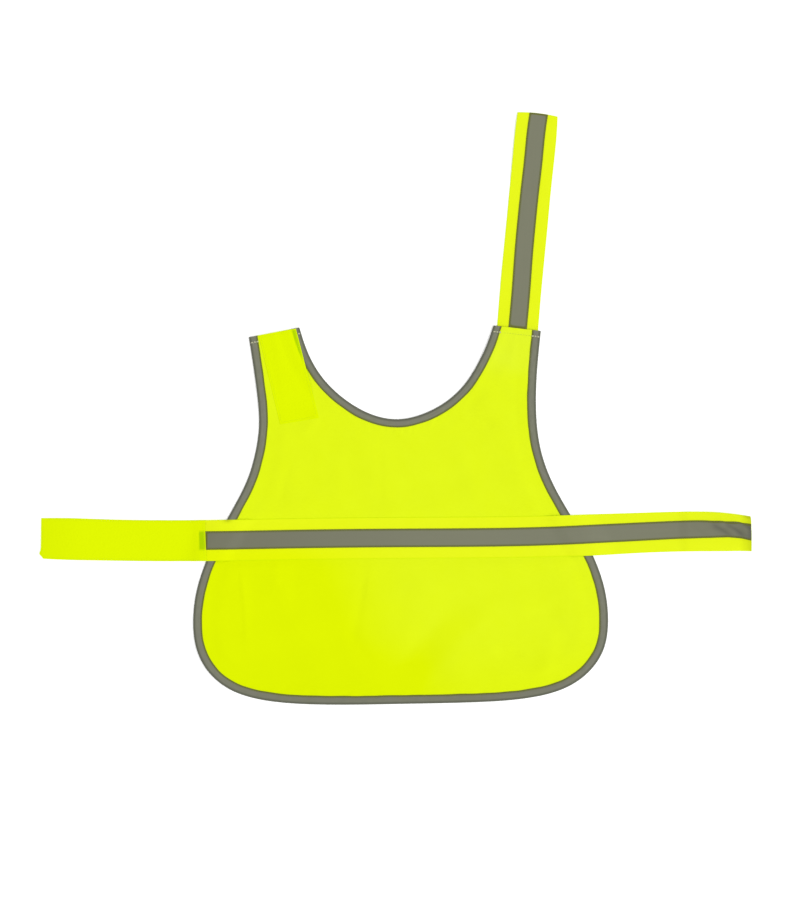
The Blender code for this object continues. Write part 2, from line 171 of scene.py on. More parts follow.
# The middle of each band's reflective tape, with the band's edges and the tape's half width from it.
# The right end of the belt curls: its crown stands off the table and its edges draw in.
Station = namedtuple("Station", "x y right left tape crown")
BELT = [
    Station(-430.8, -158.7, 24.6, 24.8, 11.2, 0.0),
    Station(-400.5, -159.2, 25.4, 25.3, 11.2, 0.0),
    Station(-359.2, -160.3, 25.1, 25.1, 11.2, 0.0),
    Station(-310.7, -161.2, 24.9, 24.9, 11.2, 0.0),
    Station(-233.0, -161.2, 24.9, 24.9, 11.2, 0.0),
    Station(-116.5, -159.3, 25.0, 25.0, 11.2, 0.0),
    Station(4.9, -158.0, 25.0, 25.0, 11.2, 0.0),
    Station(126.2, -157.1, 25.0, 25.0, 11.2, 0.0),
    Station(186.9, -155.6, 25.3, 24.6, 11.2, 0.0),
    Station(247.6, -152.8, 26.1, 23.8, 11.2, 0.0),
    Station(296.1, -150.4, 25.8, 22.9, 11.1, 0.0),
    Station(344.7, -148.1, 26.4, 21.9, 10.9, 0.4),
    Station(368.9, -147.4, 26.6, 21.1, 10.6, 1.8),
    Station(393.2, -147.4, 26.3, 19.7, 9.6, 4.6),
    Station(417.5, -148.7, 24.4, 17.9, 9.0, 8.2),
    Station(430.8, -151.0, 22.4, 17.9, 9.1, 10.2),
]
STRAP = [
    Station(145.8, 76.2, 25.0, 25.0, 11.2, 0.0),
    Station(148.6, 106.5, 24.8, 25.3, 11.2, 0.0),
    Station(152.0, 145.3, 24.7, 25.6, 11.2, 0.0),
    Station(154.8, 184.2, 25.6, 24.7, 11.2, 0.0),
    Station(158.3, 223.0, 25.9, 24.4, 11.2, 0.0),
    Station(162.3, 261.8, 25.5, 24.7, 11.2, 0.0),
    Station(166.7, 300.7, 25.2, 25.4, 11.2, 0.0),
    Station(170.7, 339.5, 24.8, 25.6, 11.2, 0.0),
    Station(173.3, 357.1, 23.0, 26.0, 11.2, 0.0),
]
# Where each stretch of a band's rows of points starts, in x or y, and how far apart they are: close at
# the belt's nipped corner and on its curl, with a row at each end of a piece that lies on the band.
Span = namedtuple("Span", "start step")
BELT_SPANS = [
    Span(BELT[0].x, 1.3),
    Span(-418.0, 2.8),
    Span(BELT_TAPE_START, 1.8),
    Span(LOOP_PATCH_END, 2.8),
    Span(BELT_HOOK_START, 1.5),
    Span(BELT[-1].x, 0.0),
]
STRAP_SPANS = [
    Span(STRAP[0].y, 2.8),
    Span(STRAP_HOOK_START, 2.5),
    Span(STRAP[-1].y, 0.0),
]
# The way from a band's right edge to its left, parallel to its cut ends.
BELT_LEFTWARD = np.array([-0.035, 1.0])
STRAP_LEFTWARD = np.array([-0.993, 0.118])
# How the crown falls off across a band. A reach of 1 is the tape's edge and 2 the band's, to the
# right of the tape's middle where negative.
Across = namedtuple("Across", "reach height")
ACROSS = [
    Across(-2.0, 0.0),
    Across(-1.5, 0.38),
    Across(-1.0, 0.70),
    Across(-0.5, 0.91),
    Across(0.0, 1.0),
    Across(0.5, 0.98),
    Across(1.0, 0.84),
    Across(1.5, 0.50),
    Across(2.0, 0.0),
]
SHOULDER_PATCH = [
    Corner("top left", -166.4, 87.4),
    Corner("top right", -121.4, 96.0),
    Corner("bottom left", -140.6, -20.2),
    Corner("bottom right", -93.4, -12.4),
]

# The belt's left end. It is turned from the band's square end until it is all but upright. Up from its
# lower edge, its tip is cut off slantwise and a fold pokes out above the cut.
LEFT_END_TURN = 0.047
LEFT_END_REACH = 9.0  # the stretch of the belt that takes part in this
TIP_CUT = 2.9
TIP_CUT_ENDS = (-0.5, 5.5)
FOLD_POKE = 1.8
FOLD_PLACE = 6.6
FOLD_WIDTH = 3.0

# The lie of the cloth, in millimetres --------------------------------------------------------------

# Soft ridges, and troughs where the height is negative, from a start to an end. Bow is how far the
# middle stands off to the left, width the half width, and lean makes the left side the steeper one.
Crease = namedtuple("Crease", "place x0 y0 x1 y1 bow width height lean")
CREASES = [
    Crease("left skirt, sharp", -190.5, -187, -180.8, -302, 2.0, 3.2, 0.45, -0.45),
    Crease("left skirt, its bank", -174, -196, -172, -300, -2.0, 9.0, -0.2, 0.0),
    Crease("left skirt, below the belt", -145, -186, -146, -224, 1.0, 5.0, 0.35, 0.3),
    Crease("left skirt, near the binding", -219, -200, -222, -290, -5.0, 6.0, -0.3, 0.0),
    Crease("left skirt, shallow trough", -128, -188, -120, -262, 3.0, 10.0, -0.45, 0.1),
    Crease("skirt, slim trough", -34, -186, -53, -292, 0.0, 5.5, -0.5, 0.2),
    Crease("skirt, step beside it", -30, -186, -33, -232, -3.0, 6.0, 0.25, 0.0),
    Crease("skirt, left arm of the vee", -58, -258, -18, -332, -3.0, 8.0, -0.45, 0.3),
    Crease("skirt, right arm of the vee", 20, -212, 2, -328, 4.0, 11.0, 0.3, -0.4),
    Crease("skirt, long diagonal", -6, -334, 74, -238, 2.0, 18.0, -1.2, 0.0),
    Crease("skirt, swell behind it", 66, -338, 128, -226, 8.0, 24.0, 0.8, 0.3),
    Crease("right skirt, short swell", 118, -292, 158, -296, -4.0, 7.0, -0.8, 0.0),
    Crease("right skirt, dip", 156, -246, 204, -256, 2.0, 9.0, -0.6, 0.0),
    Crease("right skirt, to the hem", 190, -262, 172, -336, 5.0, 10.0, 0.7, 0.2),
    Crease("chest, upright streak", -22, -36, -20, -128, 3.0, 5.0, -0.25, 0.2),
    Crease("chest, left of it", -62, -34, -66, -120, -5.0, 10.0, 0.4, 0.0),
    Crease("chest, left edge", -126, -62, -140, -122, -3.0, 6.0, -0.4, 0.0),
    Crease("chest, right", 70, -44, 96, -122, 6.0, 13.0, 0.5, 0.0),
    Crease("chest, low ripple", -120, -112, -40, -126, 4.0, 6.0, 0.5, 0.0),
    Crease("right tab, fold off the scoop", 118, 55, 158, 20, -3.0, 6.0, 0.45, 0.3),
    Crease("right tab, shadow below it", 106, 40, 150, 2, -3.0, 9.0, -0.5, 0.0),
    Crease("right of the scoop", 82, -4, 128, -22, -3.0, 5.0, -0.8, 0.3),
    Crease("right of the scoop, its bank", 84, -14, 134, -34, -3.0, 7.0, 0.6, 0.0),
    Crease("left of the scoop", -92, -4, -118, -36, 2.0, 6.0, 0.6, 0.2),
]
# Round places where the whole layered edge stands a little off the table.
Lift = namedtuple("Lift", "place x y radius height")
LIFTS = [
    Lift("left hem corner", -234, -322, 46, 1.3),
    Lift("hem", -66, -366, 52, 0.8),
    Lift("hem", 118, -364, 44, 1.1),
    Lift("right skirt", 262, -266, 48, 1.2),
    Lift("left armhole", -170, 24, 34, 0.9),
    Lift("left shoulder", -150, 98, 26, 1.5),
    Lift("foot of the scoop", 14, -10, 34, 0.8),
    Lift("right of the scoop", 92, 46, 24, 0.9),
    Lift("right armhole", 176, -30, 36, 0.9),
    Lift("left side", -206, -128, 26, 0.5),
]
# Darker places on the belt's upper edge: where it crosses the panel's binding, and painted shade on the
# curled corner.
DarkSpot = namedtuple("DarkSpot", "x radius depth")
DARK_SPOTS = [
    DarkSpot(-203.3, 5.0, 1.0),
    DarkSpot(426.5, 4.0, 0.6),
]
DARK_SPOT_ENDS = (0.5, 5.0)  # in from the upper edge: darker up to here, plain from here
# The painted shade toward the belt's curled end, which grows step by step from one x to another.
ShadeRamp = namedtuple("ShadeRamp", "start end depth")
CLOTH_CURL_SHADE = [
    ShadeRamp(416.0, 424.0, 0.3),
    ShadeRamp(423.0, 430.0, 0.3),
    ShadeRamp(429.0, 430.6, 0.3),
]
TAPE_CURL_SHADE = [
    ShadeRamp(362.0, 402.0, 0.12),
    ShadeRamp(408.0, 424.0, 0.2),
    ShadeRamp(424.0, 430.0, 0.55),
]
TROUGH_SHADE = 0.5  # how much painted shade a trough of the curl adds, a millimetre deep
# Small slanting creases where the belt's right end curls.
CURL_CREASES = [
    Crease("curl", 360, -142, 388, -157, 0.5, 3.2, 0.5, 0.0),
    Crease("curl", 379, -140, 409, -157, 0.6, 3.0, -1.0, 0.1),
    Crease("curl", 388, -138, 413, -152, 0.5, 2.6, 0.6, 0.0),
    Crease("curl", 394, -140, 425, -157, 1.0, 3.2, -1.15, 0.1),
    Crease("curl", 405, -138, 428, -150, 0.6, 2.7, 0.7, 0.1),
    Crease("curl", 414, -138, 431, -148, -0.6, 2.4, -0.75, 0.0),
    Crease("curl, upper edge", 372, -129, 428, -132, 1.5, 3.2, 0.5, 0.0),
    Crease("curl, lower edge", 396, -170, 430, -166, -1.5, 4.0, 0.5, 0.0),
]
BINDING_CROWN = 0.22  # the upper leaf's swell between the fold and the stitches
SEAM_DIP = 0.22  # how far the stitches draw each leaf in
RIPPLE = 0.09  # the height of the small waves along the upper leaf
PUCKER = 0.16  # the height of the small ripples that the binding's seam leaves in the panel
PUCKER_PLACE = 12.5  # in from the outline, where they are strongest
PUCKER_WIDTH = 5.5  # and how far from there they reach
LEAF_ROOM = BINDING_CROWN + 2 * RIPPLE + PUCKER  # what lies on a binding clears its swell by this
WAVE = 0.36  # the height of the cloth's broad, shallow waves
SLANT_ALONG = 0.4  # the slant of those that run along, and of those across
SLANT_ACROSS = 0.3
FLOAT = 1.25  # how far the middle of the panel floats off the table on the whole
STILL_EDGE = (9.0, 34.0)  # in from the outline, creases and waves grow from nothing to full height
BELT_HOLDS = 0.8  # how much of them the belt presses flat
BELT_HOLDS_ENDS = (22.0, 34.0)  # from its middle: pressed up to here, free from here
SOFT_LANDING = 0.02  # rounds the bend where the cloth comes down on the table
STRAP_WAVE = 0.25  # the height of the strap's own waves
STRAP_WAVE_ENDS = (100.0, 150.0)  # up the strap: still up to here, waving from here
UNEVEN_WIDTH = 0.02  # how much wider and narrower a binding gets, as a share

# Wavelengths of the cloth's waves along and across, and of the smaller ones.
WAVES_ALONG = (143.0, 89.0, 57.0)
WAVES_ACROSS = (121.0, 77.0, 49.0)
STRAP_WAVES = (131.0, 83.0, 47.0)
WIDTH_WAVES = (83.0, 47.0, 29.0)
RIPPLE_WAVES = (13.0, 21.0, 34.0)
PUCKER_WAVES = (17.0, 26.0, 41.0)

# The finishes, in metres ----------------------------------------------------------------------------

# From thread to thread, or from rib to rib.
PANEL_THREADS = 0.00045
STRAP_THREADS = 0.0006
TAPE_THREADS = 0.0007
BINDING_RIBS = 0.0009
HOOK_ROWS = 0.0012
# How high each relief stands.
CLOTH_RELIEF = 0.00007
PILE_RELIEF = 0.0003
HOOK_RELIEF = 0.0001
BEAD_RELIEF = 0.00006
BACKING_RELIEF = 0.00004
RIB_RELIEF = 0.00007
THREAD_RELIEF = 0.00005
FLOOR_RELIEF = 0.00005
# In from a cut edge or from the fold: where its tone starts, and where it is full.
CLOTH_EDGE = (0.0016, 0.0004)
PILE_EDGE = (0.0014, 0.0003)
BEAD_EDGE = (0.0030, 0.0015)
RIB_FOLD = (0.0038, 0.0016)
RIB_INNER = (0.0028, 0.0014)
# About how many grains, clouds or streaks there are to the metre: two numbers are along and across.
CLOTH_SLUBS = (90.0, 900.0)
CLOTH_MOTTLES = 55.0
PILE_NAP = 1500.0
PILE_TUFTS = 420.0
PILE_MOTTLES = 30.0
BEADS = 2600.0
BEAD_STREAKS = (14.0, 260.0)
BEAD_MOTTLES = 22.0
RIB_GRAIN = (500.0, 2500.0)
RIB_MOTTLES = (130.0, 420.0)
RIB_WARMTH = 45.0
PLIES = 4000.0
FLOOR_GRAIN = 60.0
# Where a tone changes, each from the place where it starts to the one where it has changed in full.
# Painted shade on the cloth: its lower part, its left in x and half of y, its foot, and a drift toward the
# left.
DULL_LOW = (-0.13, -0.20)
DULL_LEFT = (-0.07, -0.24)  # in x and half of y
DULL_FOOT = (-0.265, -0.345)
DULL_DRIFT = (0.06, -0.12)
# The painted shade of the skirt's long slanting fold: the distance past its line is x by the first number,
# less y by the second, less the third.
FOLD_LINE = (0.760, 0.649, 0.2237)
FOLD_NEAR = (-0.024, -0.004)  # up to the line
FOLD_PAST = (0.030, 0.006)  # back to it from beyond
FOLD_LOW = (-0.225, -0.275)  # down the skirt
# The right tab, where it lies on the strap: from its foot, from its top and from its left.
TAB_FOOT = (0.03, 0.06)
TAB_TOP = (0.10, 0.09)
TAB_LEFT = (0.09, 0.12)
LOOP_DRIFT = (-0.37, -0.431)  # the loop tape, toward the belt's left end
TAPE_DRIFT = (0.1, -0.25)  # the reflective tape, toward the left
HEM_TONE = (-0.31, -0.345)  # the binding, toward the hem


# Curves and heights ---------------------------------------------------------------------------------


def natural_cubic(knots, values, at):
    """The smoothest curve through the values: one linear system gives its bend at each knot."""
    gap = np.diff(knots)
    slope = np.diff(values, axis=0) / gap[:, None]
    system = np.eye(len(knots))
    change = np.zeros_like(values)
    for i in range(1, len(knots) - 1):
        system[i, i - 1 : i + 2] = gap[i - 1], 2 * (gap[i - 1] + gap[i]), gap[i]
        change[i] = 6 * (slope[i] - slope[i - 1])
    bend = np.linalg.solve(system, change)
    i = np.clip(np.searchsorted(knots, at) - 1, 0, len(gap) - 1)
    width = gap[i][:, None]
    a = (knots[i + 1] - at)[:, None] / width
    b = 1 - a
    curve = a * values[i] + b * values[i + 1]
    return curve + ((a**3 - a) * bend[i] + (b**3 - b) * bend[i + 1]) * width**2 / 6


def chord_lengths(points):
    """Each point's distance along the row: the sum of the straight steps up to it."""
    return np.concatenate([[0], np.cumsum(np.linalg.norm(np.diff(points, axis=0), axis=1))])


def at_distances(wanted, run, values):
    """The rows of values, known at the distances in run, at the wanted distances."""
    return np.stack([np.interp(wanted, run, column) for column in values.T], axis=-1)


def left_normals(points):
    """Unit normals on the left of a row of points in the plane: its tangents, turned by a quarter."""
    tangent = np.gradient(points, axis=0)
    tangent /= np.linalg.norm(tangent, axis=1, keepdims=True)
    return np.stack([-tangent[:, 1], tangent[:, 0]], axis=1)


def smooth_step(value, start, end):
    """0 up to start, 1 from end, and level at both."""
    t = np.clip((value - start) / (end - start), 0, 1)
    return t * t * (3 - 2 * t)


EDGE_STEP = 1.5  # from one point of the drawn edges to the next


def drawn_edge(corners):
    """The corners' smooth curve, in short even steps."""
    points = np.array([(corner.x, corner.y) for corner in corners])
    knots = chord_lengths(points)
    return natural_cubic(knots, points, np.linspace(0, knots[-1], int(knots[-1] / EDGE_STEP)))


OUTER_CURVE = drawn_edge(OUTER_EDGE)
NECK_CURVE = drawn_edge(NECK_EDGE)
AT_ONCE = 4000  # so many points are measured at a time, which spares memory


def distance_inside(points, curve):
    """How far each point lies to the left of a curve that goes round the cloth, negative outside."""
    flat = points.reshape(-1, 2)
    normal = left_normals(curve)
    distance = []
    for some in np.array_split(flat, len(flat) // AT_ONCE + 1):
        offset = some[:, None] - curve[None]
        nearest = (offset**2).sum(axis=2).argmin(axis=1)
        apart = offset[np.arange(len(some)), nearest]
        side = np.sign((apart * normal[nearest]).sum(axis=1))
        distance.append(side * np.linalg.norm(apart, axis=1))
    return np.concatenate(distance).reshape(points.shape[:-1])


def inside_panel(points):
    """How far each point lies in from the nearer of the panel's two bound edges."""
    return np.minimum(distance_inside(points, OUTER_CURVE), distance_inside(points, NECK_CURVE))


def at_height(level, height):
    """Points of the plane, lifted to these heights."""
    return np.concatenate([level, height[..., None]], axis=-1)


def toward(start, end):
    """The unit vector from the one point to the other."""
    return (end - start) / np.linalg.norm(end - start)


# Along the cut end of each shoulder tab, away from the armhole, and down each tab from its end.
LEFT_END = toward(OUTER_CURVE[0], NECK_CURVE[-1])
RIGHT_END = toward(OUTER_CURVE[-1], NECK_CURVE[0])
DOWN_LEFT_TAB = np.array([LEFT_END[1], -LEFT_END[0]])
DOWN_RIGHT_TAB = np.array([-RIGHT_END[1], RIGHT_END[0]])


WAVE_SHIFT = 1.7  # keeps the sines of one wave out of step
SUM_POWER = 0.75  # a sum of sines, over their number to this power, stays between about -1 and 1


def wander(along, seed, wavelengths):
    """A smooth uneven wave between about -1 and 1: sines of these lengths, shifted by the seed."""
    turns = [along / length for length in wavelengths]
    waves = [np.sin(2 * np.pi * turn + seed * (i + WAVE_SHIFT)) for i, turn in enumerate(turns)]
    return sum(waves) / len(waves) ** SUM_POWER


CREASE_GROWS = (-0.08, 0.3)  # as shares of a crease's length
CREASE_DIES = (0.62, 1.08)


def creased(points, creases):
    """The sum of the creases: each a bell across its bowed line, swelling and dying along it."""
    height = np.zeros(points.shape[:-1])
    for crease in creases:
        start, end = np.array([crease.x0, crease.y0]), np.array([crease.x1, crease.y1])
        way = toward(start, end)
        t = ((points - start) @ way) / np.linalg.norm(end - start)
        off = (points - start) @ np.array([-way[1], way[0]]) - crease.bow * np.sin(np.pi * t.clip(0, 1))
        narrowing = 1 + crease.lean * np.sign(off)
        along = smooth_step(t, *CREASE_GROWS) * (1 - smooth_step(t, *CREASE_DIES))
        height += crease.height * along * np.exp(-((off * narrowing / crease.width) ** 2))
    return height


def lift(points):
    """The sum of the round lifts of the bound edge, each a bell."""
    height = np.zeros(points.shape[:-1])
    for place in LIFTS:
        apart = np.linalg.norm(points - (place.x, place.y), axis=-1)
        height += place.height * np.exp(-((apart / place.radius) ** 2))
    return height


def lie(points):
    """How far the lowest layer stands off the table: creases, broad waves and lifted edges.

    The waves run slantwise, along and across. All but the lifts fade toward the outline and the belt,
    and a root of the square and a small number keeps what is left above the table.
    """
    x, y = points[..., 0], points[..., 1]
    belt_middle = np.interp(x, [row.x for row in BELT], [row.y for row in BELT])
    held = 1 - BELT_HOLDS * (1 - smooth_step(np.abs(y - belt_middle), *BELT_HOLDS_ENDS))
    waves = wander(x + SLANT_ALONG * y, 2.0, WAVES_ALONG)
    waves = waves + wander(y - SLANT_ACROSS * x, 5.0, WAVES_ACROSS)
    free = smooth_step(inside_panel(points), *STILL_EDGE) * held
    loose = free * (FLOAT + WAVE * waves + creased(points, CREASES))
    return 0.5 * (loose + np.sqrt(loose**2 + SOFT_LANDING)) + lift(points)


def shoulder_rise(points, layer):
    """The right tab lies over the end of the strap and its tape, and comes down off them."""
    on_tab = (points[..., 0] > RIGHT_TAB[0]) & (points[..., 1] > RIGHT_TAB[1])
    off = smooth_step((points - OUTER_CURVE[-1]) @ DOWN_RIGHT_TAB, *TAB_RISE_ENDS)
    return np.where(on_tab, 2 * layer * (1 - off), 0)


def panel_rise(points, layer):
    """The panel's under surface: on the binding's lower leaf at the edge, on the table inside."""
    edge = layer * (1 - smooth_step(inside_panel(points), *PANEL_RISE_ENDS))
    return edge + shoulder_rise(points, layer) + lie(points)


def belt_rise(points, layer):
    """The belt's under surface: over the panel, higher over its binding, then down to the table."""
    inside = distance_inside(points, OUTER_CURVE)
    over_panel = layer + (2 * layer + LEAF_ROOM) * (1 - smooth_step(inside, *UPPER_RISE_ENDS))
    beside = (3 * layer + LEAF_ROOM) * (1 - smooth_step(-inside, *UPPER_FALL_ENDS))
    return np.where(inside > 0, over_panel, beside) + lie(points)


def shoulder_patch_rise(points, layer):
    """The left shoulder's patch lies on the panel and climbs the neck binding's upper leaf."""
    over_neck = 1 - smooth_step(distance_inside(points, NECK_CURVE), *NECK_OVERLAP_ENDS)
    return panel_rise(points, layer) + layer + (layer + LEAF_ROOM) * over_neck


# Meshes ---------------------------------------------------------------------------------------------


def mesh_from_arrays(name, points, faces, uv=None, marks=None):
    """A mesh in metres, of points in millimetres and arrays of faces with as many corners each."""
    mesh = bpy.data.meshes.new(name)
    corners = np.concatenate([block.ravel() for block in faces])
    sides = np.concatenate([np.full(len(block), block.shape[1]) for block in faces])
    mesh.vertices.add(len(points))
    mesh.vertices.foreach_set("co", (points * MM).astype(np.float32).ravel())
    mesh.loops.add(len(corners))
    mesh.loops.foreach_set("vertex_index", corners.astype(np.int32))
    mesh.polygons.add(len(sides))
    mesh.polygons.foreach_set("loop_start", (np.cumsum(sides) - sides).astype(np.int32))
    mesh.polygons.foreach_set("loop_total", sides.astype(np.int32))
    if uv is not None:
        layer = mesh.uv_layers.new(name="cut")
        layer.data.foreach_set("uv", (uv[corners] * MM).astype(np.float32).ravel())
    for mark, values in (marks or {}).items():
        attribute = mesh.attributes.new(mark, "FLOAT", "POINT")
        attribute.data.foreach_set("value", values.astype(np.float32).ravel())
    mesh.update(calc_edges=True)
    mesh.shade_smooth()
    return mesh


def linked(name, mesh, material):
    """A new object of this mesh in the scene, with its material."""
    piece = bpy.data.objects.new(name, mesh)
    bpy.context.scene.collection.objects.link(piece)
    mesh.materials.append(material)
    return piece


def grid_faces(rows, columns):
    """The four corners of each cell of a grid of points."""
    index = np.arange(rows * columns).reshape(rows, columns)
    corners = (index[:-1, :-1], index[1:, :-1], index[1:, 1:], index[:-1, 1:])
    return np.stack(corners, -1).reshape(-1, 4)


RIM = 0.3  # the rounding of a sheet's rim, as a share of its wall
RIM_STEPS = 2
RIM_ANGLE = np.radians(50)  # only edges sharper than this are rounded


def sheet(name, points, uv, material, wall, marks, side=1):
    """A sheet of cloth on a grid of points, walled upwards, or through its middle with side 0.

    Its faces point up where the rows run along X and the columns along Y. The rim is rounded. Each mark
    is a value at every point, which the material reads.
    """
    marks = {mark: values.reshape(-1) for mark, values in marks.items()}
    faces = [grid_faces(*points.shape[:2])]
    mesh = mesh_from_arrays(name, points.reshape(-1, 3), faces, uv.reshape(-1, 2), marks)
    piece = linked(name, mesh, material)
    solid = piece.modifiers.new("wall", "SOLIDIFY")
    solid.thickness = wall * MM
    solid.offset = side
    solid.use_even_offset = side == 0
    rim = piece.modifiers.new("rim", "BEVEL")
    rim.width = RIM * wall * MM
    rim.segments = RIM_STEPS
    rim.limit_method = "ANGLE"
    rim.angle_limit = RIM_ANGLE
    rim.harden_normals = True
    return piece


def grid_normals(points):
    """The unit normals of a grid: the cross product of its two directions."""
    normal = np.cross(np.gradient(points, axis=0), np.gradient(points, axis=1))
    return normal / np.linalg.norm(normal, axis=2, keepdims=True)


def moved_out(points, distance):
    """The grid moved along its own normals: what lies on a sheet is made from the sheet's points."""
    return points + grid_normals(points) * np.broadcast_to(distance, points.shape[:2])[..., None]


Stitching = namedtuple("Stitching", "path up")
STITCH_RINGS = 7
STITCH_SIDES = 6
STITCH_SPAN = 0.45  # half a stitch's length, as a share of the pitch
# As shares of the thread's radius: how far the middle of a stitch stands off the cloth, how far below
# that its ends dive, how much thinner they are, and how far they stand aside at most.
STITCH_STANDS = 0.55
STITCH_DIVES = 1.7
STITCH_THINS = 0.3
STITCH_SLANT = 0.35
SLANT_PACE = 1.3  # turns a place in the row into the sine's angle


def stitches(name, rows, sizes, material, pitch=None, thickness=None):
    """Rows of sewn stitches as one mesh: each a short thread that rises from the cloth and dives back.

    Along a stitch its middle line stands off the cloth by about half a thread's radius and sinks at both
    ends with the fourth power of the distance from its middle, and the thread thins there. Each stitch
    also slants a little, by a sine of its place in the row.
    """
    pitch = pitch or sizes.stitch_pitch
    radius = (thickness or sizes.thread) / 2
    along = np.linspace(-1, 1, STITCH_RINGS)
    turn = np.linspace(0, 2 * np.pi, STITCH_SIDES, endpoint=False)
    points = []
    for row in rows:
        run = chord_lengths(row.path)
        middle = (np.arange(int(run[-1] / pitch)) + 0.5) * pitch
        place = middle[:, None] + along * pitch * STITCH_SPAN
        centre = at_distances(place, run, row.path)
        up = at_distances(place, run, row.up)
        way = np.gradient(centre, axis=1)
        way /= np.linalg.norm(way, axis=2, keepdims=True)
        across = np.cross(way, up)
        slant = STITCH_SLANT * radius * np.sin(middle * SLANT_PACE)[:, None] * along
        height = radius * (STITCH_STANDS - STITCH_DIVES * along**4)
        centre = centre + across * slant[..., None] + up * height[:, None]
        thin = radius * (1 - STITCH_THINS * along**4)
        ring = np.cos(turn)[:, None] * across[:, :, None] + np.sin(turn)[:, None] * up[:, :, None]
        points.append((centre[:, :, None] + ring * thin[:, None, None]).reshape(len(middle), -1, 3))
    points = np.concatenate(points)
    faces = tube_faces(len(points), STITCH_RINGS, STITCH_SIDES)
    return linked(name, mesh_from_arrays(name, points.reshape(-1, 3), faces), material)


def tube_faces(count, rings, sides):
    """The faces of many like tubes of rings, each tube closed by a face at both ends."""
    first = np.arange(count)[:, None] * rings * sides
    ring, side = np.meshgrid(np.arange(rings - 1), np.arange(sides), indexing="ij")
    near, far, side = ring.ravel() * sides, (ring.ravel() + 1) * sides, side.ravel()
    following = (side + 1) % sides
    walls = np.stack([near + side, near + following, far + following, far + side], axis=-1)
    walls = (first[:, :, None] + walls[None]).reshape(-1, 4)
    start = first + np.arange(sides)[::-1]
    end = first + (rings - 1) * sides + np.arange(sides)
    return [walls, start, end]


# Shader maths ---------------------------------------------------------------------------------------


class Number:
    """A value on a shader socket. Arithmetic with it adds Math nodes to its finish."""

    def __init__(self, finish, socket):
        self.finish = finish
        self.socket = socket

    def math(self, operation, *others, clamp=False):
        """This operation on the value and the others."""
        settings = {"operation": operation, "use_clamp": clamp}
        return self.finish.node("ShaderNodeMath", settings, dict(enumerate((self, *others))))

    def __add__(self, other):
        return self.math("ADD", other)

    __radd__ = __add__

    def __mul__(self, other):
        return self.math("MULTIPLY", other)

    __rmul__ = __mul__

    def __sub__(self, other):
        return self.math("SUBTRACT", other)

    def __rsub__(self, other):
        return self.finish.node("ShaderNodeMath", {"operation": "SUBTRACT"}, {0: other, 1: self})

    def __abs__(self):
        return self.math("ABSOLUTE")

    def sine(self):
        """The sine of the value, in radians."""
        return self.math("SINE")

    def clamped(self):
        """The value, held between 0 and 1."""
        return self.math("ADD", 0.0, clamp=True)

    def smooth(self, start, end):
        """0 up to start and 1 from end, or the other way round where start is the larger."""
        if start > end:
            return 1 - self.smooth(end, start)
        settings = {"interpolation_type": "SMOOTHSTEP"}
        values = {"Value": self, "From Min": start, "From Max": end}
        return self.finish.node("ShaderNodeMapRange", settings, values)


class Finish:
    """A material under construction, whose nodes all come from one method."""

    def __init__(self, name):
        self.material = bpy.data.materials.new(name)
        self.material.use_nodes = True
        self.tree = self.material.node_tree
        self.tree.nodes.clear()

    def node(self, kind, settings=None, values=None, output=0):
        """A node of this type with its settings, then the values or links of its sockets."""
        made = self.tree.nodes.new(kind)
        for name, setting in (settings or {}).items():
            setattr(made, name, setting)
        for name, value in (values or {}).items():
            if isinstance(value, Number):
                self.tree.links.new(value.socket, made.inputs[name])
            else:
                made.inputs[name].default_value = value
        return None if output is None else Number(self, made.outputs[output])

    def place(self):
        """The point on the object, in metres."""
        return self.node("ShaderNodeTexCoord", output="Object")

    def cut(self):
        """The point on the flat cut piece, in metres along and across it."""
        return self.node("ShaderNodeUVMap", {"uv_map": "cut"})

    def parts(self, vector):
        """The vector's X and Y."""
        split = self.node("ShaderNodeSeparateXYZ", None, {0: vector})
        sockets = split.socket.node.outputs
        return Number(self, sockets[0]), Number(self, sockets[1])

    def mark(self, name):
        """A value that the mesh holds at its points."""
        return self.node("ShaderNodeAttribute", {"attribute_name": name}, output="Fac")

    def noise(self, vector, scale, detail=2.0, roughness=0.5):
        """Smooth random clouds between 0 and 1, about as many to the metre as the scale says."""
        values = {"Vector": vector, "Scale": scale, "Detail": detail, "Roughness": roughness}
        return self.node("ShaderNodeTexNoise", None, values)

    def stretched(self, vector, along, across):
        """The vector, with its X and its Y each times a number of its own."""
        return self.node("ShaderNodeMapping", None, {"Vector": vector, "Scale": (along, across, 1.0)})

    def mix(self, share, first, second):
        """The first colour where the share is 0 and the second where it is 1.

        The node has sockets for other kinds of value too: 6, 7 and 2 are the ones for colours.
        """
        values = {0: share, 6: opaque(first), 7: opaque(second)}
        return self.node("ShaderNodeMix", {"data_type": "RGBA"}, values, output=2)

    def bump(self, height, distance, strength=1.0, under=None):
        """The normals of a relief, its height times the distance in metres, laid on another relief."""
        values = {"Height": height, "Distance": distance, "Strength": strength}
        if under is not None:
            values["Normal"] = under
        return self.node("ShaderNodeBump", None, values)

    def done(self, colour, roughness, normal, **constants):
        """The finished material. Constants are the shader's other sockets, each one value all over."""
        values = {"Base Color": colour, "Roughness": roughness, "Normal": normal}
        values |= {name.replace("_", " "): value for name, value in constants.items()}
        shader = self.node("ShaderNodeBsdfPrincipled", None, values)
        self.node("ShaderNodeOutputMaterial", None, {"Surface": shader}, output=None)
        return self.material


def opaque(colour):
    """A plain colour with its alpha of 1. A colour that comes from nodes stays as it is."""
    return colour if isinstance(colour, Number) else (*colour, 1.0)


def shade(colour, share):
    """The colour made darker, or paler where the share is over 1."""
    return tuple(value * share for value in colour)


CROSSING = 3  # how steeply warp and weft change places where they cross


def plain_weave(u, v, pitch):
    """Threads a pitch apart, each a sine's hump, with warp and weft on top in turn like a draughtboard."""
    warp = (u * (np.pi / pitch)).sine()
    weft = (v * (np.pi / pitch)).sine()
    over = (warp * weft * CROSSING + 0.5).clamped()
    return over * abs(warp) + (1 - over) * abs(weft)


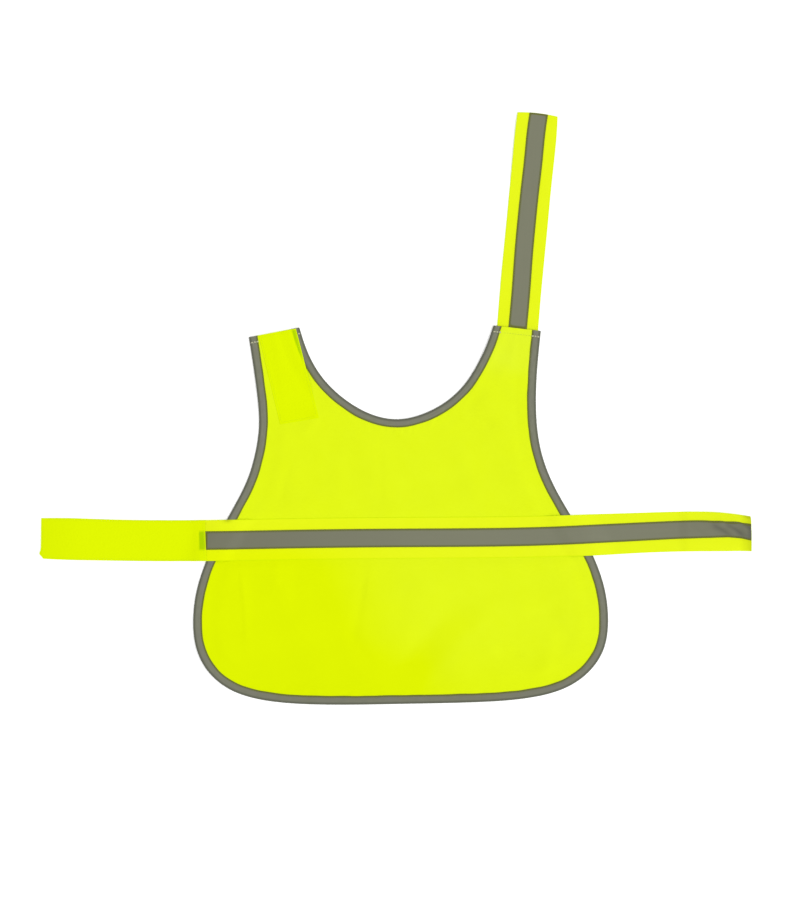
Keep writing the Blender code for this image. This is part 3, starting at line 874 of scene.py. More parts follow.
def painted_shade_places(f):
    """How much painted shade the cloth takes from place to place, and how much deeper at the left of its
    foot.

    The painted shade lies on the skirt's lower left, its foot, its long slanting fold, whose place is
    measured square to the fold, and on the left half of the whole, a little.
    """
    x, y = f.parts(f.place())
    low = y.smooth(*DULL_LOW)
    left = (x + y * 0.5).smooth(*DULL_LEFT)
    beyond = x * FOLD_LINE[0] - y * FOLD_LINE[1] - FOLD_LINE[2]
    fold = beyond.smooth(*FOLD_NEAR) * beyond.smooth(*FOLD_PAST) * y.smooth(*FOLD_LOW)
    foot = y.smooth(*DULL_FOOT)
    drift = x.smooth(*DULL_DRIFT)
    return (low * left + fold * 0.45 + foot * 0.45 + drift * 0.22).clamped(), (foot * left).clamped()


def woven(name, colour, duller, deeper, pitch, gleam):
    """Fluorescent polyester: a fine plain weave, faint slubs, painted shade in places and on the belt's
    curled end, and edges that take a deeper tone, partly painted shade.

    Where the right tab lies on the strap it is paler.
    """
    f = Finish(name)
    flat = f.cut()
    u, v = f.parts(flat)
    weave = plain_weave(u, v, pitch)
    slubs = f.noise(f.stretched(flat, *CLOTH_SLUBS), 1.0, detail=3.0)
    mottle = f.noise(f.place(), CLOTH_MOTTLES, detail=3.0)
    shade_share, deep = painted_shade_places(f)
    x, y = f.parts(f.place())
    on_strap = y.smooth(*TAB_FOOT) * y.smooth(*TAB_TOP) * x.smooth(*TAB_LEFT)
    edge = f.mark("from_edge").smooth(*CLOTH_EDGE)
    # Painted shade: where the places above say so, the cloth takes its shaded colour, deeper at the left of
    # the foot.
    tone = f.mix(shade_share, colour, duller)
    tone = f.mix(deep, tone, shade(duller, 0.98))
    tone = f.mix(on_strap * 0.011, tone, (1, 1, 1))
    tone = f.mix((mottle - 0.35).clamped() * 0.4, tone, shade(duller, 0.98))
    tone = f.mix(weave * 0.10, tone, shade(colour, 1.03))
    # The deeper tone along the cut edges is partly the edges' own and partly painted shade.
    tone = f.mix(edge * 0.55, tone, deeper)
    # Painted shade on the belt's curled end, and darker where it crosses the panel's binding.
    tone = f.mix(f.mark("painted_shade"), tone, shade(colour, 0.65))
    relief = f.bump(weave + slubs * 0.5, CLOTH_RELIEF, 0.7)
    rough = 0.72 + 0.12 * slubs
    return f.done(tone, rough, relief, Specular_IOR_Level=gleam, Sheen_Weight=0.01, Sheen_Roughness=0.5)


def loop_tape(name, colour, under_colour):
    """Soft looped pile: fine curled nap on thin yellow ground, so thin that grey shows through it."""
    f = Finish(name)
    place = f.place()
    nap = f.noise(place, PILE_NAP, detail=3.0, roughness=0.7)
    tufts = f.noise(place, PILE_TUFTS)
    drift = f.noise(place, PILE_MOTTLES)
    edge = f.mark("from_edge").smooth(*PILE_EDGE)
    x, _ = f.parts(place)
    tone = f.mix((nap * 1.6 - 0.35).clamped(), shade(colour, 0.93), shade(colour, 1.03))
    tone = f.mix((drift - 0.3).clamped() * 0.3, tone, shade(colour, 0.95))
    tone = f.mix(edge * 0.6, tone, shade(colour, 0.75))
    tone = f.mix(x.smooth(*LOOP_DRIFT), tone, shade(colour, 0.935))
    tone = f.mix(f.mark("shows_through"), tone, under_colour)
    relief = f.bump(nap * 0.7 + tufts, PILE_RELIEF, 0.8)
    return f.done(tone, 0.95, relief, Specular_IOR_Level=0.0, Sheen_Weight=0.02, Sheen_Roughness=0.6)


def hook_tape(name, colour):
    """The stiff nylon ground of the closure's other half, ribbed by its rows of hooks."""
    f = Finish(name)
    u, _ = f.parts(f.cut())
    ribs = abs((u * (np.pi / HOOK_ROWS)).sine())
    tone = f.mix(ribs * 0.3, colour, shade(colour, 0.85))
    return f.done(tone, 0.45, f.bump(ribs, HOOK_RELIEF, 0.6), Specular_IOR_Level=0.3)


def reflective_tape(name, colour, edge_colour, end_shade_colour):
    """Grey cloth faced with tiny glass beads: a fine grain, a satin gloss, darker cut edges that are partly
    painted shade with a painted reflection of the yellow, and painted shade toward the belt's curled end.
    """
    f = Finish(name)
    flat = f.cut()
    u, v = f.parts(flat)
    x, _ = f.parts(f.place())
    beads = f.node("ShaderNodeTexVoronoi", None, {"Vector": f.place(), "Scale": BEADS})
    streaks = f.noise(f.stretched(flat, *BEAD_STREAKS), 1.0, detail=3.0)
    drift = f.noise(f.place(), BEAD_MOTTLES)
    edge = f.mark("from_edge").smooth(*BEAD_EDGE)
    tone = f.mix((streaks - 0.3).clamped() * 0.55, shade(colour, 1.05), shade(colour, 0.9))
    tone = f.mix((drift - 0.3).clamped() * 0.4, tone, shade(colour, 1.06))
    tone = f.mix(beads.clamped() * 0.25, tone, shade(colour, 1.15))
    tone = f.mix(x.smooth(*TAPE_DRIFT), tone, shade(colour, 0.93))
    # Painted shade toward the belt's curled end and in the troughs of its curl.
    tone = f.mix(f.mark("painted_shade"), tone, end_shade_colour)
    tone = f.mix(edge * 0.85, tone, edge_colour)
    relief = f.bump(beads, BEAD_RELIEF, 0.5)
    relief = f.bump(plain_weave(u, v, TAPE_THREADS), BACKING_RELIEF, 0.5, under=relief)
    return f.done(tone, 0.42 + 0.12 * streaks, relief, Specular_IOR_Level=0.2)


def grey_binding(name, colour, warm_colour, edge_colour, inner_colour):
    """Narrow grey tape with close ribs across it.

    It is darker on the fold, where the shade of its rounded fold is painted, and along the hem, olive beside
    the cloth, and less green in places.
    """
    f = Finish(name)
    flat = f.cut()
    u, _ = f.parts(flat)
    _, y = f.parts(f.place())
    ribs = abs((u * (np.pi / BINDING_RIBS)).sine())
    grain = f.noise(f.stretched(flat, *RIB_GRAIN), 1.0)
    mottle = f.noise(f.stretched(flat, *RIB_MOTTLES), 1.0, detail=3.0, roughness=0.6)
    warm = f.noise(f.place(), RIB_WARMTH)
    fold = f.mark("from_fold").smooth(*RIB_FOLD)
    inner = f.mark("from_edge").smooth(*RIB_INNER)
    tone = f.mix((mottle * 2.4 - 0.7).clamped(), shade(colour, 1.12), shade(colour, 0.86))
    tone = f.mix(ribs * 0.25, tone, shade(colour, 1.1))
    tone = f.mix(y.smooth(*HEM_TONE) * 0.5, tone, shade(colour, 0.84))
    tone = f.mix((warm * 3.0 - 1.0).clamped() * 0.5, tone, warm_colour)
    # Painted shade on the rounded fold.
    tone = f.mix(fold * 0.85, tone, edge_colour)
    tone = f.mix(inner * 0.9, tone, inner_colour)
    relief = f.bump(ribs * 0.7 + grain * 0.6, RIB_RELIEF, 0.8)
    return f.done(tone, 0.55 + 0.1 * grain, relief, Specular_IOR_Level=0.2)


def thread(name, colour):
    """Twisted sewing thread, with a fine uneven twist."""
    f = Finish(name)
    plies = f.noise(f.place(), PLIES, detail=1.0)
    tone = f.mix(plies * 0.5, colour, shade(colour, 0.8))
    return f.done(tone, 0.6, f.bump(plies, THREAD_RELIEF, 0.6), Specular_IOR_Level=0.2)


def matt_floor(name, colour):
    """A pale matt table that glows a little, with a grain too faint to see from above."""
    f = Finish(name)
    grain = f.noise(f.place(), FLOOR_GRAIN, detail=3.0)
    tone = f.mix(grain * 0.1, colour, shade(colour, 0.99))
    glow = {"Emission Color": opaque(colour), "Emission Strength": 0.2}
    return f.done(tone, 0.9, f.bump(grain, FLOOR_RELIEF, 0.1), Specular_IOR_Level=0.05, **glow)


# What a user would change ---------------------------------------------------------------------------


def colour_property(name, description, default):
    """A colour that the panel shows as a swatch."""
    return FloatVectorProperty(
        name=name, description=description, default=default, subtype="COLOR", size=3, min=0.0, max=1.0
    )


def length_property(name, description, default):
    """A length in metres."""
    return FloatProperty(name=name, description=description, default=default, unit="LENGTH", min=0.0)


class VestSizes(bpy.types.PropertyGroup):
    """Sizes of the cloth and its sewing."""

    wall: length_property("Cloth wall", "Thickness of one layer of cloth or tape", 0.00055)
    gap: length_property("Layer gap", "Clear space between two layers that touch", 0.0001)
    stitch_pitch: length_property("Stitch length", "From one stitch to the next", 0.003)
    thread: length_property("Thread", "Diameter of the sewing thread", 0.00042)


class VestColours(bpy.types.PropertyGroup):
    """Colours of the cloth, the tapes and the threads."""

    cloth: colour_property("Cloth", "Fluorescent yellow of the panel", (0.652, 0.791, 0.010))
    # Painted shade: the cloth's colour where shade is painted on it.
    cloth_low: colour_property("Cloth, lower left", "The same where it is duller", (0.636, 0.769, 0.0))
    # Partly painted shade: the cut edges' own deeper tone, with painted shade along them.
    cloth_edge: colour_property("Cloth edges", "The deeper tone along its cut edges", (0.53, 0.69, 0.0))
    strap: colour_property("Straps", "Fluorescent yellow of the belt and strap", (0.687, 0.793, 0.010))
    # Painted shade: the straps' colour where shade is painted on it.
    strap_low: colour_property("Belt, lower left", "The same where it is duller", (0.670, 0.778, 0.0))
    loop: colour_property("Loop tape", "Yellow of the soft closure patches", (0.652, 0.802, 0.0))
    loop_over_grey: colour_property("Loop tape over grey", "Where grey shows through", (0.375, 0.575, 0.0))
    hook: colour_property("Hook tape", "Yellow of the stiff closure patches", (0.62, 0.78, 0.01))
    tape: colour_property("Reflective tape", "Grey of the glass-bead tape", (0.156, 0.160, 0.107))
    # Partly painted shade: the tape's darker edges, olive from a painted reflection of the yellow beside
    # them.
    tape_edge: colour_property("Tape edges", "The darker olive of its cut edges", (0.105, 0.115, 0.0))
    # Painted shade: the tape's colour toward the belt's curled end.
    tape_end_shade: colour_property("Tape, handled end", "Darker, on the belt's curled end", (0.097, 0.100, 0.076))
    binding: colour_property("Binding", "Grey of the folded edge tape", (0.163, 0.168, 0.118))
    binding_warm: colour_property("Binding, in places", "The same, but less green", (0.163, 0.160, 0.128))
    # Painted shade on the binding's rounded fold.
    binding_fold: colour_property("Binding fold", "The darker grey on its fold", (0.088, 0.093, 0.064))
    binding_inner: colour_property("Binding beside cloth", "Olive beside the yellow", (0.105, 0.115, 0.006))
    cream_thread: colour_property("Shoulder thread", "Cream, across the shoulder tabs", (0.46, 0.46, 0.31))
    # Painted shade: the same cream thread, darkened and tinted by the yellow where it sinks into the cloth.
    pale_thread: colour_property("Thread on yellow", "The same, in the cloth's tint", (0.52, 0.62, 0.03))


class VestStage(bpy.types.PropertyGroup):
    """The table, the camera and the lights."""

    camera_height: length_property("Camera height", "Camera above the table", 5.0)
    view_height: length_property("View height", "What the picture shows from top to bottom", 1.09224)
    view_centre: FloatVectorProperty(
        name="View centre",
        description="The point under the middle of the picture",
        default=(-0.0006, -0.0513),
        size=2,
        unit="LENGTH",
    )
    floor: colour_property("Table", "Colour of the table", (0.95, 0.95, 0.95))
    sky: FloatProperty(name="Soft light", description="Strength of the light from all round", default=0.74)
    key: FloatProperty(name="Key light", description="Strength of the light from one side", default=1.85)


Sizes = namedtuple("Sizes", "wall layer stitch_pitch thread")


def choices(context):
    """The chosen sizes, in millimetres and with the room that a layer takes, and the colours."""
    chosen = context.scene.vest_sizes
    lengths = (chosen.wall, chosen.wall + chosen.gap, chosen.stitch_pitch, chosen.thread)
    return Sizes(*(length / MM for length in lengths)), context.scene.vest_colours


def finish(name, colours):
    """The material of this name, made the first time that a piece asks for it."""
    strap_edge = shade(colours.cloth_edge, 1.1)
    recipes = {
        "panel_weave": (woven, colours.cloth, colours.cloth_low, colours.cloth_edge, PANEL_THREADS, 0.0),
        "strap_weave": (woven, colours.strap, colours.strap_low, strap_edge, STRAP_THREADS, 0.02),
        "looped_pile": (loop_tape, colours.loop, colours.loop_over_grey),
        "hooked_nylon": (hook_tape, colours.hook),
        "glass_bead_tape": (reflective_tape, colours.tape, colours.tape_edge, colours.tape_end_shade),
        "ribbed_binding": (
            grey_binding, colours.binding, colours.binding_warm, colours.binding_fold, colours.binding_inner
        ),
        "yellow_thread": (thread, shade(colours.strap, 0.94)),
        "loop_thread": (thread, shade(colours.loop, 0.97)),
        "grey_thread": (thread, shade(colours.binding, 1.1)),
        "cream_thread": (thread, colours.cream_thread),
        "pale_thread": (thread, colours.pale_thread),
    }
    make, *values = recipes[name]
    return bpy.data.materials.get(name) or make(name, *values)


def placed(piece, slot, *nodes):
    """The piece rides on the part's one body and stands for its nodes; the slot is not used."""
    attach(piece, "root")
    if nodes:
        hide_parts(*nodes)
    return piece


# The bound panel ------------------------------------------------------------------------------------


def ways_in(run, normal, start_way, end_way):
    """The way in from each place on an edge: square to it, but along the tab's cut end next to that."""
    from_start = smooth_step(run, 0, TAB_END_TURN)[:, None]
    from_end = smooth_step(run[-1] - run, 0, TAB_END_TURN)[:, None]
    way = start_way + (normal - start_way) * from_start
    way = end_way + (way - end_way) * from_end
    return way / (way * normal).sum(axis=1, keepdims=True)


Edge = namedtuple("Edge", "places ways run")


def stations(curve, start_way, end_way, shares):
    """The places at these shares of a curve's length, with the way in from each and the distance along."""
    normal = left_normals(curve)
    run = chord_lengths(curve)
    way = ways_in(run, normal, start_way, end_way)
    wanted = shares * run[-1]
    return Edge(at_distances(wanted, run, curve), at_distances(wanted, run, way), wanted)


def outer_stations(shares):
    """Places round the outer edge, from the left shoulder to the right one."""
    return stations(OUTER_CURVE, LEFT_END, RIGHT_END, shares)


def neck_stations(shares):
    """Places along the scoop, from the right shoulder to the left one."""
    return stations(NECK_CURVE, -RIGHT_END, -LEFT_END, shares)


PANEL_COLUMNS = 380  # from the left tab's end round to the right one's
# Rows in from a cut edge: closer over the binding's seam and on the climb off its lower leaf.
EDGE_ROWS = np.array(
    [0, 1.2, 3.4, 6, 8.5, 9.7, 11, 12.3, 13.6, 15, 16.4, 17.8, 19.4, 21.3, 23.5, 26, 29, 32.5]
)
ROOM_FOR_ROWS = 0.4  # they take this share of the way to the other edge at most
MIDDLE_ROWS = 78  # evenly spaced between those
TAB_RUNS = (150.0, 120.0)  # down the tabs, this much of the outer edge faces this much of the neck edge


def panel_grid():
    """The panel between its two bound edges, in columns from the one to the other.

    A column joins two places that face each other: the tabs' sides are paired at one pace and the rest
    of the edges at another, so that no two columns cross. Its rows lie at set distances in from both
    edges, closer where the panel is narrow, and evenly spaced between those.
    """
    share = np.linspace(0, 1, PANEL_COLUMNS)
    outer_tab, neck_tab = (
        run / chord_lengths(curve)[-1] for run, curve in zip(TAB_RUNS, (OUTER_CURVE, NECK_CURVE))
    )
    facing = np.interp(share, [0, outer_tab, 1 - outer_tab, 1], [0, neck_tab, 1 - neck_tab, 1])
    outer = outer_stations(share)
    neck = neck_stations(1 - facing)
    apart = np.linalg.norm(outer.places - neck.places, axis=1)[:, None]
    rows = PANEL_EDGE + EDGE_ROWS * np.minimum(ROOM_FOR_ROWS * apart / EDGE_ROWS[-1], 1)
    from_outer = outer.places[:, None] + outer.ways[:, None] * rows[..., None]
    from_neck = neck.places[:, None] + neck.ways[:, None] * rows[:, ::-1, None]
    share = np.linspace(0, 1, MIDDLE_ROWS + 2)[None, 1:-1, None]
    middle = from_outer[:, -1:] * (1 - share) + from_neck[:, :1] * share
    return np.concatenate([from_outer, middle, from_neck], axis=1)


AROUND = np.array([0.0, -150.0])  # the middle that the puckers go round
AROUND_RADIUS = 260.0  # turns an angle there into a distance along the seam


def puckers(level):
    """Small uneven ripples square to the binding's seam, each dying away from it as a bell."""
    x, y = np.moveaxis(level - AROUND, -1, 0)
    around = np.arctan2(y, x) * AROUND_RADIUS
    height = np.zeros(level.shape[:-1])
    for curve, seed in ((OUTER_CURVE, 1.0), (NECK_CURVE, 4.0)):
        from_seam = (distance_inside(level, curve) - PUCKER_PLACE) / PUCKER_WIDTH
        height += np.exp(-(from_seam**2)) * wander(around, seed, PUCKER_WAVES)
    return PUCKER * height


def body_panel(sizes, colours):
    """The panel's sheet."""
    level = panel_grid()
    height = panel_rise(level, sizes.layer) + puckers(level) + PUCKER
    edge = (inside_panel(level) - PANEL_EDGE) * MM
    marks = {"from_edge": edge, "painted_shade": np.zeros_like(edge)}
    material = finish("panel_weave", colours)
    return sheet("panel_cloth", at_height(level, height), level, material, sizes.wall, marks)


LEAF_STEPS = 12  # across each leaf
FOLD_STEPS = 8  # round the fold
SWELL_POWER = 0.7  # the sine to this power makes a fuller swell
SEAM_WIDTH = 0.9  # of the dip along the stitches


def folded_section(shows, sizes):
    """The middle of the folded tape's wall, as (distance in from the outer edge, height).

    Two level leaves joined by half a circle. The upper leaf swells by a power of a sine from the fold to
    its cut edge, and along the stitches a bell-shaped dip draws the two leaves together.
    """
    centre = sizes.layer + sizes.wall / 2
    radius = sizes.layer
    turn = np.linspace(-np.pi / 2, -3 * np.pi / 2, FOLD_STEPS + 1)
    fold_x = sizes.wall / 2 + radius + radius * np.cos(turn)
    fold = np.stack([fold_x, centre + radius * np.sin(turn)], axis=1)
    out = np.linspace(fold[0, 0], shows, LEAF_STEPS + 1)[1:]
    dip = SEAM_DIP * np.exp(-(((out - shows + BINDING_SEAM) / SEAM_WIDTH) ** 2))
    lower = np.stack([out[::-1], centre - radius + dip[::-1]], axis=1)
    swell = BINDING_CROWN * np.sin(np.pi * (out - fold[0, 0]) / (shows - fold[0, 0])) ** SWELL_POWER
    upper = np.stack([out, centre + radius + swell - dip], axis=1)
    return np.vstack([lower, fold, upper])


FOLD_STAYS = 3.0  # nearer than this to the fold, the section keeps its width


def binding(name, edge, seed, sizes, colours):
    """Tape folded over the edge: its section carried along the bound outline, a little unevenly."""
    section = folded_section(BINDING_SHOWS[name], sizes)
    width = 1 + UNEVEN_WIDTH * wander(edge.run, seed, WIDTH_WAVES)
    reach = section[None, :, 0] * np.where(section[None, :, 0] > FOLD_STAYS, width[:, None], 1)
    level = edge.places[:, None] + edge.ways[:, None] * reach[..., None]
    upper = smooth_step(section[:, 1], sizes.wall, sizes.layer * 2)
    ripple = RIPPLE * wander(edge.run, seed + 2, RIPPLE_WAVES)[:, None] * upper
    points = at_height(level, section[:, 1] + shoulder_rise(level, sizes.layer) + lie(level) + ripple)
    across = chord_lengths(section)
    uv = np.stack(np.broadcast_arrays(edge.run[:, None], across[None]), axis=-1)
    from_edge = np.minimum(across, across[-1] - across)
    from_fold = np.abs(across - across[LEAF_STEPS + FOLD_STEPS // 2])
    marks = {"from_edge": from_edge, "from_fold": from_fold}
    marks = {mark: np.broadcast_to(values * MM, level.shape[:2]) for mark, values in marks.items()}
    material = finish("ribbed_binding", colours)
    return sheet(name, points, uv, material, sizes.wall, marks, side=0), points


def seam_rows(points, shows, sizes):
    """The binding's stitches on its upper leaf and on its lower one."""
    section = folded_section(shows, sizes)
    upper_leaf = LEAF_STEPS + FOLD_STEPS + 1
    rows = []
    for first, last, side in ((upper_leaf, len(section), 1), (0, LEAF_STEPS, -1)):
        leaf = section[first:last, 0]
        nearest = first + int(np.argmin(np.abs(leaf - shows + BINDING_SEAM)))
        up = np.zeros_like(points[:, nearest])
        up[:, 2] = side
        rows.append(Stitching(points[:, nearest] + up * sizes.wall / 2, up))
    return rows


PATCH_GRID = (90, 40)  # points down it and across it
SHOWING_BLUR = 0.6  # the grey that shows through fades this far to both sides of its edge
SHOWING_EDGE = (0.6, 1.6)  # and none shows at the patch's rim: in from it, none up to here, full from here


def shoulder_patch(sizes, colours):
    """The soft patch on the left shoulder: a grid between its four corners, laid on what is below."""
    top_left, top_right, bottom_left, bottom_right = (np.array([c.x, c.y]) for c in SHOULDER_PATCH)
    down = np.linspace(0, 1, PATCH_GRID[0])[:, None, None]
    across = np.linspace(0, 1, PATCH_GRID[1])[None, :, None]
    left = top_left + (bottom_left - top_left) * down
    right = top_right + (bottom_right - top_right) * down
    level = left + (right - left) * across
    points = at_height(level, shoulder_patch_rise(level, sizes.layer))
    from_side = np.minimum(across[..., 0], 1 - across[..., 0]) * np.linalg.norm(right - left, axis=-1)
    from_end = np.minimum(down[..., 0], 1 - down[..., 0]) * np.linalg.norm(top_left - bottom_left)
    past_binding = distance_inside(level, NECK_CURVE) - BINDING_SHOWS["neck_tape"]
    over_binding = 1 - smooth_step(past_binding, -SHOWING_BLUR, SHOWING_BLUR)
    near_top = smooth_step(level[..., 1], *PATCH_GREY_ENDS)
    shows = over_binding * near_top * smooth_step(np.minimum(from_side, from_end), *SHOWING_EDGE)
    marks = {"from_edge": np.ones_like(shows), "shows_through": shows}
    material = finish("looped_pile", colours)
    piece = sheet("shoulder_loop_tape", points, level, material, PATCH_WALL * sizes.wall, marks)
    return piece, points


# The belt and the neck strap ------------------------------------------------------------------------

# A band's columns: steps across the cloth on each side of its tape, and across the tape.
SIDE_STEPS = 8
TAPE_STEPS = 14
SIDE_REACH = np.linspace(1, 2, SIDE_STEPS + 1)[1:]
BAND_REACH = np.concatenate([-SIDE_REACH[::-1], np.linspace(-1, 1, TAPE_STEPS + 1), SIDE_REACH])
TAPE_COLUMNS = slice(SIDE_STEPS, SIDE_STEPS + TAPE_STEPS + 1)
TAPE_MIDDLE = SIDE_STEPS + TAPE_STEPS // 2
Band = namedtuple("Band", "ground across run")


def band_grid(rows, places, leftward, rise):
    """A band's lowest sheet: a grid of places along it by the fixed reaches across it.

    Its stations give the middle, both edges, the tape's edge and the crown at each place by a cubic
    curve. Its height is the crown, which falls off across the band, and the rise of what it lies on.
    """
    table = np.array(rows)
    knots = chord_lengths(table[:, :2])
    values = natural_cubic(knots, table, places)
    right, left, tape, crown = (values[:, i, None] for i in range(2, 6))
    side = np.where(BAND_REACH < 0, right, left)
    reach = np.abs(BAND_REACH)
    across = np.sign(BAND_REACH) * (tape * np.minimum(reach, 1) + (side - tape) * (reach - 1).clip(0))
    level = values[:, None, :2] + across[..., None] * leftward
    profile = np.array(ACROSS)
    arch = natural_cubic(profile[:, 0], profile[:, 1:], BAND_REACH)[:, 0]
    height = crown.clip(0) * arch.clip(0) + rise(level)
    return Band(np.concatenate([level, height[..., None]], axis=2), across, places)


def distances_along(rows, axis, spans):
    """Distances along a band where x or y takes evenly spaced values, span after span."""
    wanted = []
    for span, following in zip(spans, spans[1:]):
        count = max(round((following.start - span.start) / span.step), 1)
        wanted.extend(np.linspace(span.start, following.start, count, endpoint=False))
    table = np.array(rows)
    return np.interp([*wanted, spans[-1].start], table[:, axis], chord_lengths(table[:, :2]))


def band_marks(band, rows=slice(None), columns=slice(None), far_end=True):
    """The flat cut of part of a band, and each point's distance from the nearest edge of it."""
    across = band.across[rows, columns]
    run = np.broadcast_to(band.run[rows, None], across.shape)
    from_side = np.minimum(across - across[:, :1], across[:, -1:] - across)
    from_end = np.minimum(run - run[:1], run[-1:] - run) if far_end else run - run[:1]
    return np.stack([run, across], axis=-1), np.minimum(from_side, from_end) * MM


def belt_ground(sizes):
    """The belt's lowest sheet, with the small creases of its curled end."""

    def rise(level):
        return belt_rise(level, sizes.layer) + creased(level, CURL_CREASES)

    places = distances_along(BELT, 0, BELT_SPANS)
    return band_grid(BELT, places, BELT_LEFTWARD, rise)


def left_end(points):
    """The belt's left end: all but upright, its lower tip cut off slantwise below a fold that pokes out."""
    x, y = points[..., 0], points[..., 1]
    near_end = 1 - smooth_step(x - BELT[0].x, 0, LEFT_END_REACH)
    up = y - BELT[0].y + BELT[0].right
    upright = LEFT_END_TURN * (y - BELT[0].y)
    cut = TIP_CUT * (1 - smooth_step(up, *TIP_CUT_ENDS))
    poke = FOLD_POKE * np.exp(-(((up - FOLD_PLACE) / FOLD_WIDTH) ** 2))
    moved = points.copy()
    moved[..., 0] = x + near_end * (upright + cut - poke)
    return moved


def painted_shade(x, ramps):
    """The sum of the painted shade at each x: every entry rises smoothly from its start to its end."""
    return sum(each.depth * smooth_step(x, each.start, each.end) for each in ramps)


# A layer of a band: its kind, the node that it stands for, what it was cut to and what it rests on.
Layer = namedtuple("Layer", "kind node flat rests_on grid uv marks")


def belt_layers(sizes):
    """The belt, its tape, the loop patch on its left end and the hook patch under its right end."""
    band = belt_ground(sizes)
    x = band.ground[:, TAPE_MIDDLE, 0]
    layer = sizes.layer
    on_hooks = smooth_step(x, BELT_HOOK_START - HOOK_STEP, BELT_HOOK_START)[:, None]
    over_tape = layer * smooth_step(x, BELT_TAPE_START - LOOP_STEP, BELT_TAPE_START)[:, None]
    raised = (HOOK_HEIGHT + layer) * on_hooks

    grid = left_end(moved_out(band.ground, raised))
    uv, edge = band_marks(band)
    near_top = 1 - smooth_step(band.across[:, -1:] - band.across, *DARK_SPOT_ENDS)
    dark_spots = sum(s.depth * np.exp(-(((x - s.x) / s.radius) ** 2)) for s in DARK_SPOTS)
    shade_share = painted_shade(x, CLOTH_CURL_SHADE)[:, None] + dark_spots[:, None] * near_top
    marks = {"from_edge": edge, "painted_shade": np.minimum(shade_share, 1)}
    yield Layer("cloth", "girth_belt", (0.050, 0.864), ["panel_cloth"], grid, uv, marks)

    rows = x >= BELT_TAPE_START - SAME
    grid = moved_out(band.ground, raised + layer)[rows, TAPE_COLUMNS]
    uv, edge = band_marks(band, rows, TAPE_COLUMNS, far_end=False)
    # Along the loop patch's cut end the tape also takes its edge tone: a painted shadow of that end.
    edge = np.minimum(edge, np.abs(grid[..., 0] - LOOP_PATCH_END) * MM)
    troughs = np.clip(-creased(grid[..., :2], CURL_CREASES), 0, 1)
    shade_share = painted_shade(x, TAPE_CURL_SHADE)[rows, None] + TROUGH_SHADE * troughs
    marks = {"from_edge": edge, "painted_shade": np.minimum(shade_share, 1)}
    yield Layer("tape", "belt_reflector", (0.0224, 0.671), ["belt_cloth"], grid, uv, marks)

    rows = x <= LOOP_PATCH_END + SAME
    grid = left_end(moved_out(band.ground, raised + layer + over_tape))[rows]
    uv, edge = band_marks(band, rows, far_end=False)
    tucked = smooth_step(grid[..., 0] - BELT_TAPE_START, *TUCK_STARTS)
    tucked = tucked * (1 - smooth_step(grid[..., 0] - LOOP_PATCH_END, *TUCK_ENDS))
    past_tape = np.abs(uv[..., 1]) - BELT[0].tape
    tucked = tucked * (1 - smooth_step(past_tape, -SHOWING_BLUR, SHOWING_BLUR))
    marks = {"from_edge": edge, "shows_through": tucked}
    yield Layer("loop_tape", "belt_loop_patch", (0.050, 0.200), ["belt_cloth"], grid, uv, marks)

    rows = x >= BELT_HOOK_START - SAME
    grid = moved_out(band.ground, HOOK_HEIGHT * on_hooks)[rows]
    uv, edge = band_marks(band, rows)
    yield Layer("hook_tape", "belt_hook_patch", (0.050, 0.076), [], grid, uv, {"from_edge": edge})


def strap_lie(level):
    """The strap lies on the table, and follows the lift of the right tab that holds its end."""
    waves = STRAP_WAVE * (1 + wander(level[..., 1], 3.0, STRAP_WAVES))
    return lift(level) + waves * smooth_step(level[..., 1], *STRAP_WAVE_ENDS)


def rounded_end(band):
    """The strap's ground with the corners of its free end drawn back, as the square of the way out."""
    near_end = smooth_step(band.run, band.run[-1] - END_ROUNDING_REACH, band.run[-1])[:, None]
    moved = band.ground.copy()
    moved[..., 1] -= END_ROUNDING * near_end * (band.across / STRAP[0].left) ** 2
    return band._replace(ground=moved)


def strap_layers(sizes):
    """The neck strap, its lower end under the right shoulder tab, its tape and the hook patch under it."""
    places = distances_along(STRAP, 1, STRAP_SPANS)
    band = rounded_end(band_grid(STRAP, places, STRAP_LEFTWARD, strap_lie))
    y = band.ground[:, TAPE_MIDDLE, 1]
    on_hooks = smooth_step(y, STRAP_HOOK_START - HOOK_STEP, STRAP_HOOK_START)[:, None]
    raised = (HOOK_HEIGHT + sizes.layer) * on_hooks

    uv, edge = band_marks(band)
    marks = {"from_edge": edge, "painted_shade": np.zeros_like(edge)}
    yield Layer("cloth", "neck_strap", (0.050, 0.283), [], moved_out(band.ground, raised), uv, marks)

    grid = moved_out(band.ground, raised + sizes.layer)[:, TAPE_COLUMNS]
    uv, edge = band_marks(band, columns=TAPE_COLUMNS)
    above_tab = (grid[..., :2] - OUTER_CURVE[-1]) @ -DOWN_RIGHT_TAB
    edge = np.minimum(edge, np.abs(above_tab - TAB_COVERS) * MM)
    marks = {"from_edge": edge, "painted_shade": np.zeros_like(edge)}
    yield Layer("tape", "strap_reflector", (0.0224, 0.283), ["strap_cloth"], grid, uv, marks)

    rows = y >= STRAP_HOOK_START - SAME
    grid = moved_out(band.ground, HOOK_HEIGHT * on_hooks)[rows]
    uv, edge = band_marks(band, rows)
    yield Layer("hook_tape", "strap_hook_patch", (0.050, 0.075), [], grid, uv, {"from_edge": edge})


def trimmed(row, ends):
    """The stitching without this length at both of its ends."""
    run = chord_lengths(row.path)
    kept = np.linspace(ends, run[-1] - ends, len(run))
    return Stitching(at_distances(kept, run, row.path), at_distances(kept, run, row.up))


